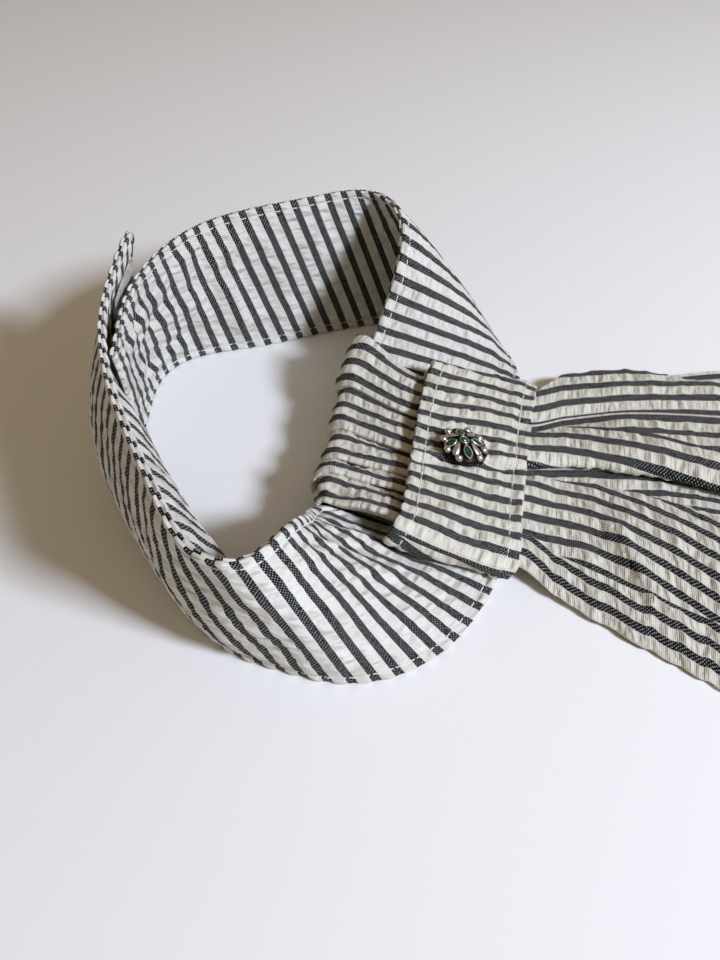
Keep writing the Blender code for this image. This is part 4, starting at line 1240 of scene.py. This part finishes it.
ornament = bmesh.new()
for angle in BEADS:
    distance, height = BEAD_PLACE
    place = Matrix.Rotation(math.radians(angle), 4, "Z") @ Matrix.Translation((distance, 0, height))
    bmesh.ops.create_uvsphere(ornament, u_segments=20, v_segments=12, radius=BEAD_RADIUS, matrix=place)
for angle, distance, length, width, twist in LEAVES:
    leaf = bmesh.ops.create_uvsphere(ornament, u_segments=20, v_segments=12, radius=1.0)["verts"]
    place = on_dome(angle, distance, LEAF_LIFT) @ Matrix.Rotation(math.radians(twist), 4, "Z")
    for vert in leaf:
        x, y, z = vert.co
        taper = 0.35 + 0.65 * (1 + x) / 2
        ridge = 1 - 0.25 * abs(y)
        vert.co = place @ Vector((length * x, width * y * taper, LEAF_HEIGHT * z * ridge * taper))
for angle, distance, length, width in PETALS:
    place = on_dome(angle, distance)
    rings = []
    for grow, height in COLLET:
        outline = lens_outline(length + grow * 1.3, width + grow, 40)
        rings.append([ornament.verts.new(place @ Vector((x, y, height))) for x, y in outline])
    loop_faces(ornament, rings + rings[:1])
rings = [[ornament.verts.new((x, y, CENTRE_HEIGHT + height)) for x, y in circle(radius, 32)]
         for radius, height in CENTRE_COLLET]
loop_faces(ornament, rings + rings[:1])
jewel_ornament = cast_piece("jewel_ornament", ornament,
                            antique_silver("polished silver", "#f0ece4", "#b8b2a8", 0.3))
ready(jewel_ornament, "jewel_setting", slot="antique_silver")


def green_glass(name, bright, deep):
    """Cut green glass backed with foil: dark in the body, bright where a facet of 0.5 mm catches the
    light."""
    return two_tone(name, "ShaderNodeTexVoronoi", {"Scale": 1900.0}, 0, (bright, deep), None,
                    {"Roughness": 0.18, "IOR": 1.5, "Coat Weight": 0.1, "Coat Roughness": 0.03})


petal_glass = green_glass("green glass of the petals", "#0a5235", "#010e09")
centre_glass = green_glass("green glass of the centre", "#0f6e47", "#021a11")


def cut_stone(name, outlines, place, material, node, slot):
    """Faceted stone from outlines of (points, height), the lowest first."""
    stone = bmesh.new()
    rings = [[stone.verts.new(place @ Vector((x, y, height))) for x, y in points]
             for points, height in outlines]
    loop_faces(stone, rings, capped=True)
    piece = cast_piece(name, stone, material, smooth=False)
    ready(piece, node, slot=slot)


for number, (angle, distance, length, width) in enumerate(PETALS, 1):
    outlines = [(lens_outline(length * long, width * wide, 12), height) for long, wide, height in PETAL_CUT]
    cut_stone(f"petal_stone_{number}", outlines, on_dome(angle, distance), petal_glass,
              f"jewel_petal_{number}", "green_glass_petal")
cut_stone("centre_stone", [(circle(radius, 12), height) for radius, height in CENTRE_CUT],
          Matrix.Translation((0, 0, CENTRE_HEIGHT)), centre_glass, "jewel_stone", "green_glass_centre")

# Floor, light and camera
# A plain pale floor, a large soft cool window light from the front right, a warm pale surround, and
# a camera that looks down at 46 degrees as the photograph's does.
CAMERA_ELEVATION = math.radians(46.0)
CAMERA_HEIGHT = 174.0    # in mm over the table
FOCAL_PIXELS = 800.0     # focal length over the 960 pixels of the image's height
SENSOR = 36.0
FLOOR_REACH = 3.0        # in metres each way, as the window's place and size are
WINDOW_PLACE = (0.76, -0.55, 0.72)
WINDOW_SIZE = 0.22
WINDOW_POWER = 19.5      # in watts
SURROUND_POWER = 0.30

floor_mesh = bpy.data.meshes.new("floor")
floor_corners = [(x * FLOOR_REACH, y * FLOOR_REACH, 0) for x, y in ((-1, -1), (1, -1), (1, 1), (-1, 1))]
floor_mesh.from_pydata(floor_corners, [], [(0, 1, 2, 3)])
floor = new_object("floor", floor_mesh)
floor.location = (0, 0, -0.0002)
floor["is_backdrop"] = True
floor_paint, floor_tree, floor_shader = bare_material("matt white paint")
wire(floor_tree, floor_shader, {"Base Color": linear("#f8f7f3"), "Roughness": 0.95})
floor_mesh.materials.append(floor_paint)

world = bpy.data.worlds.new("pale surround")
world.use_nodes = True
wire(world.node_tree, world.node_tree.nodes["Background"], {0: linear("#f0d9b8"), 1: SURROUND_POWER})
bpy.context.scene.world = world

window_light = bpy.data.lights.new("window", "AREA")
window_light.shape = "SQUARE"
window_light.size = WINDOW_SIZE
window_light.energy = WINDOW_POWER
window_light.color = linear("#e0e9ff")[:3]
window = new_object("window", window_light)
window.location = WINDOW_PLACE
window.rotation_euler = (-Vector(WINDOW_PLACE)).to_track_quat("-Z", "Y").to_euler()

camera_data = bpy.data.cameras.new("camera")
camera_data.sensor_width = SENSOR
camera_data.lens = SENSOR * FOCAL_PIXELS / 960.0
camera_data.clip_start = 0.01
camera_data.clip_end = 20.0
camera = new_object("camera", camera_data)
camera_back = CAMERA_HEIGHT / math.tan(CAMERA_ELEVATION)
camera.location = (np.array([0.0, -camera_back, CAMERA_HEIGHT]) + ORIGIN) * 0.001
camera.rotation_euler = (math.pi / 2 - CAMERA_ELEVATION, 0, 0)
bpy.context.scene.camera = camera
bpy.context.scene.view_settings.view_transform = "Standard"

bpy.context.view_layer.update()
low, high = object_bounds()
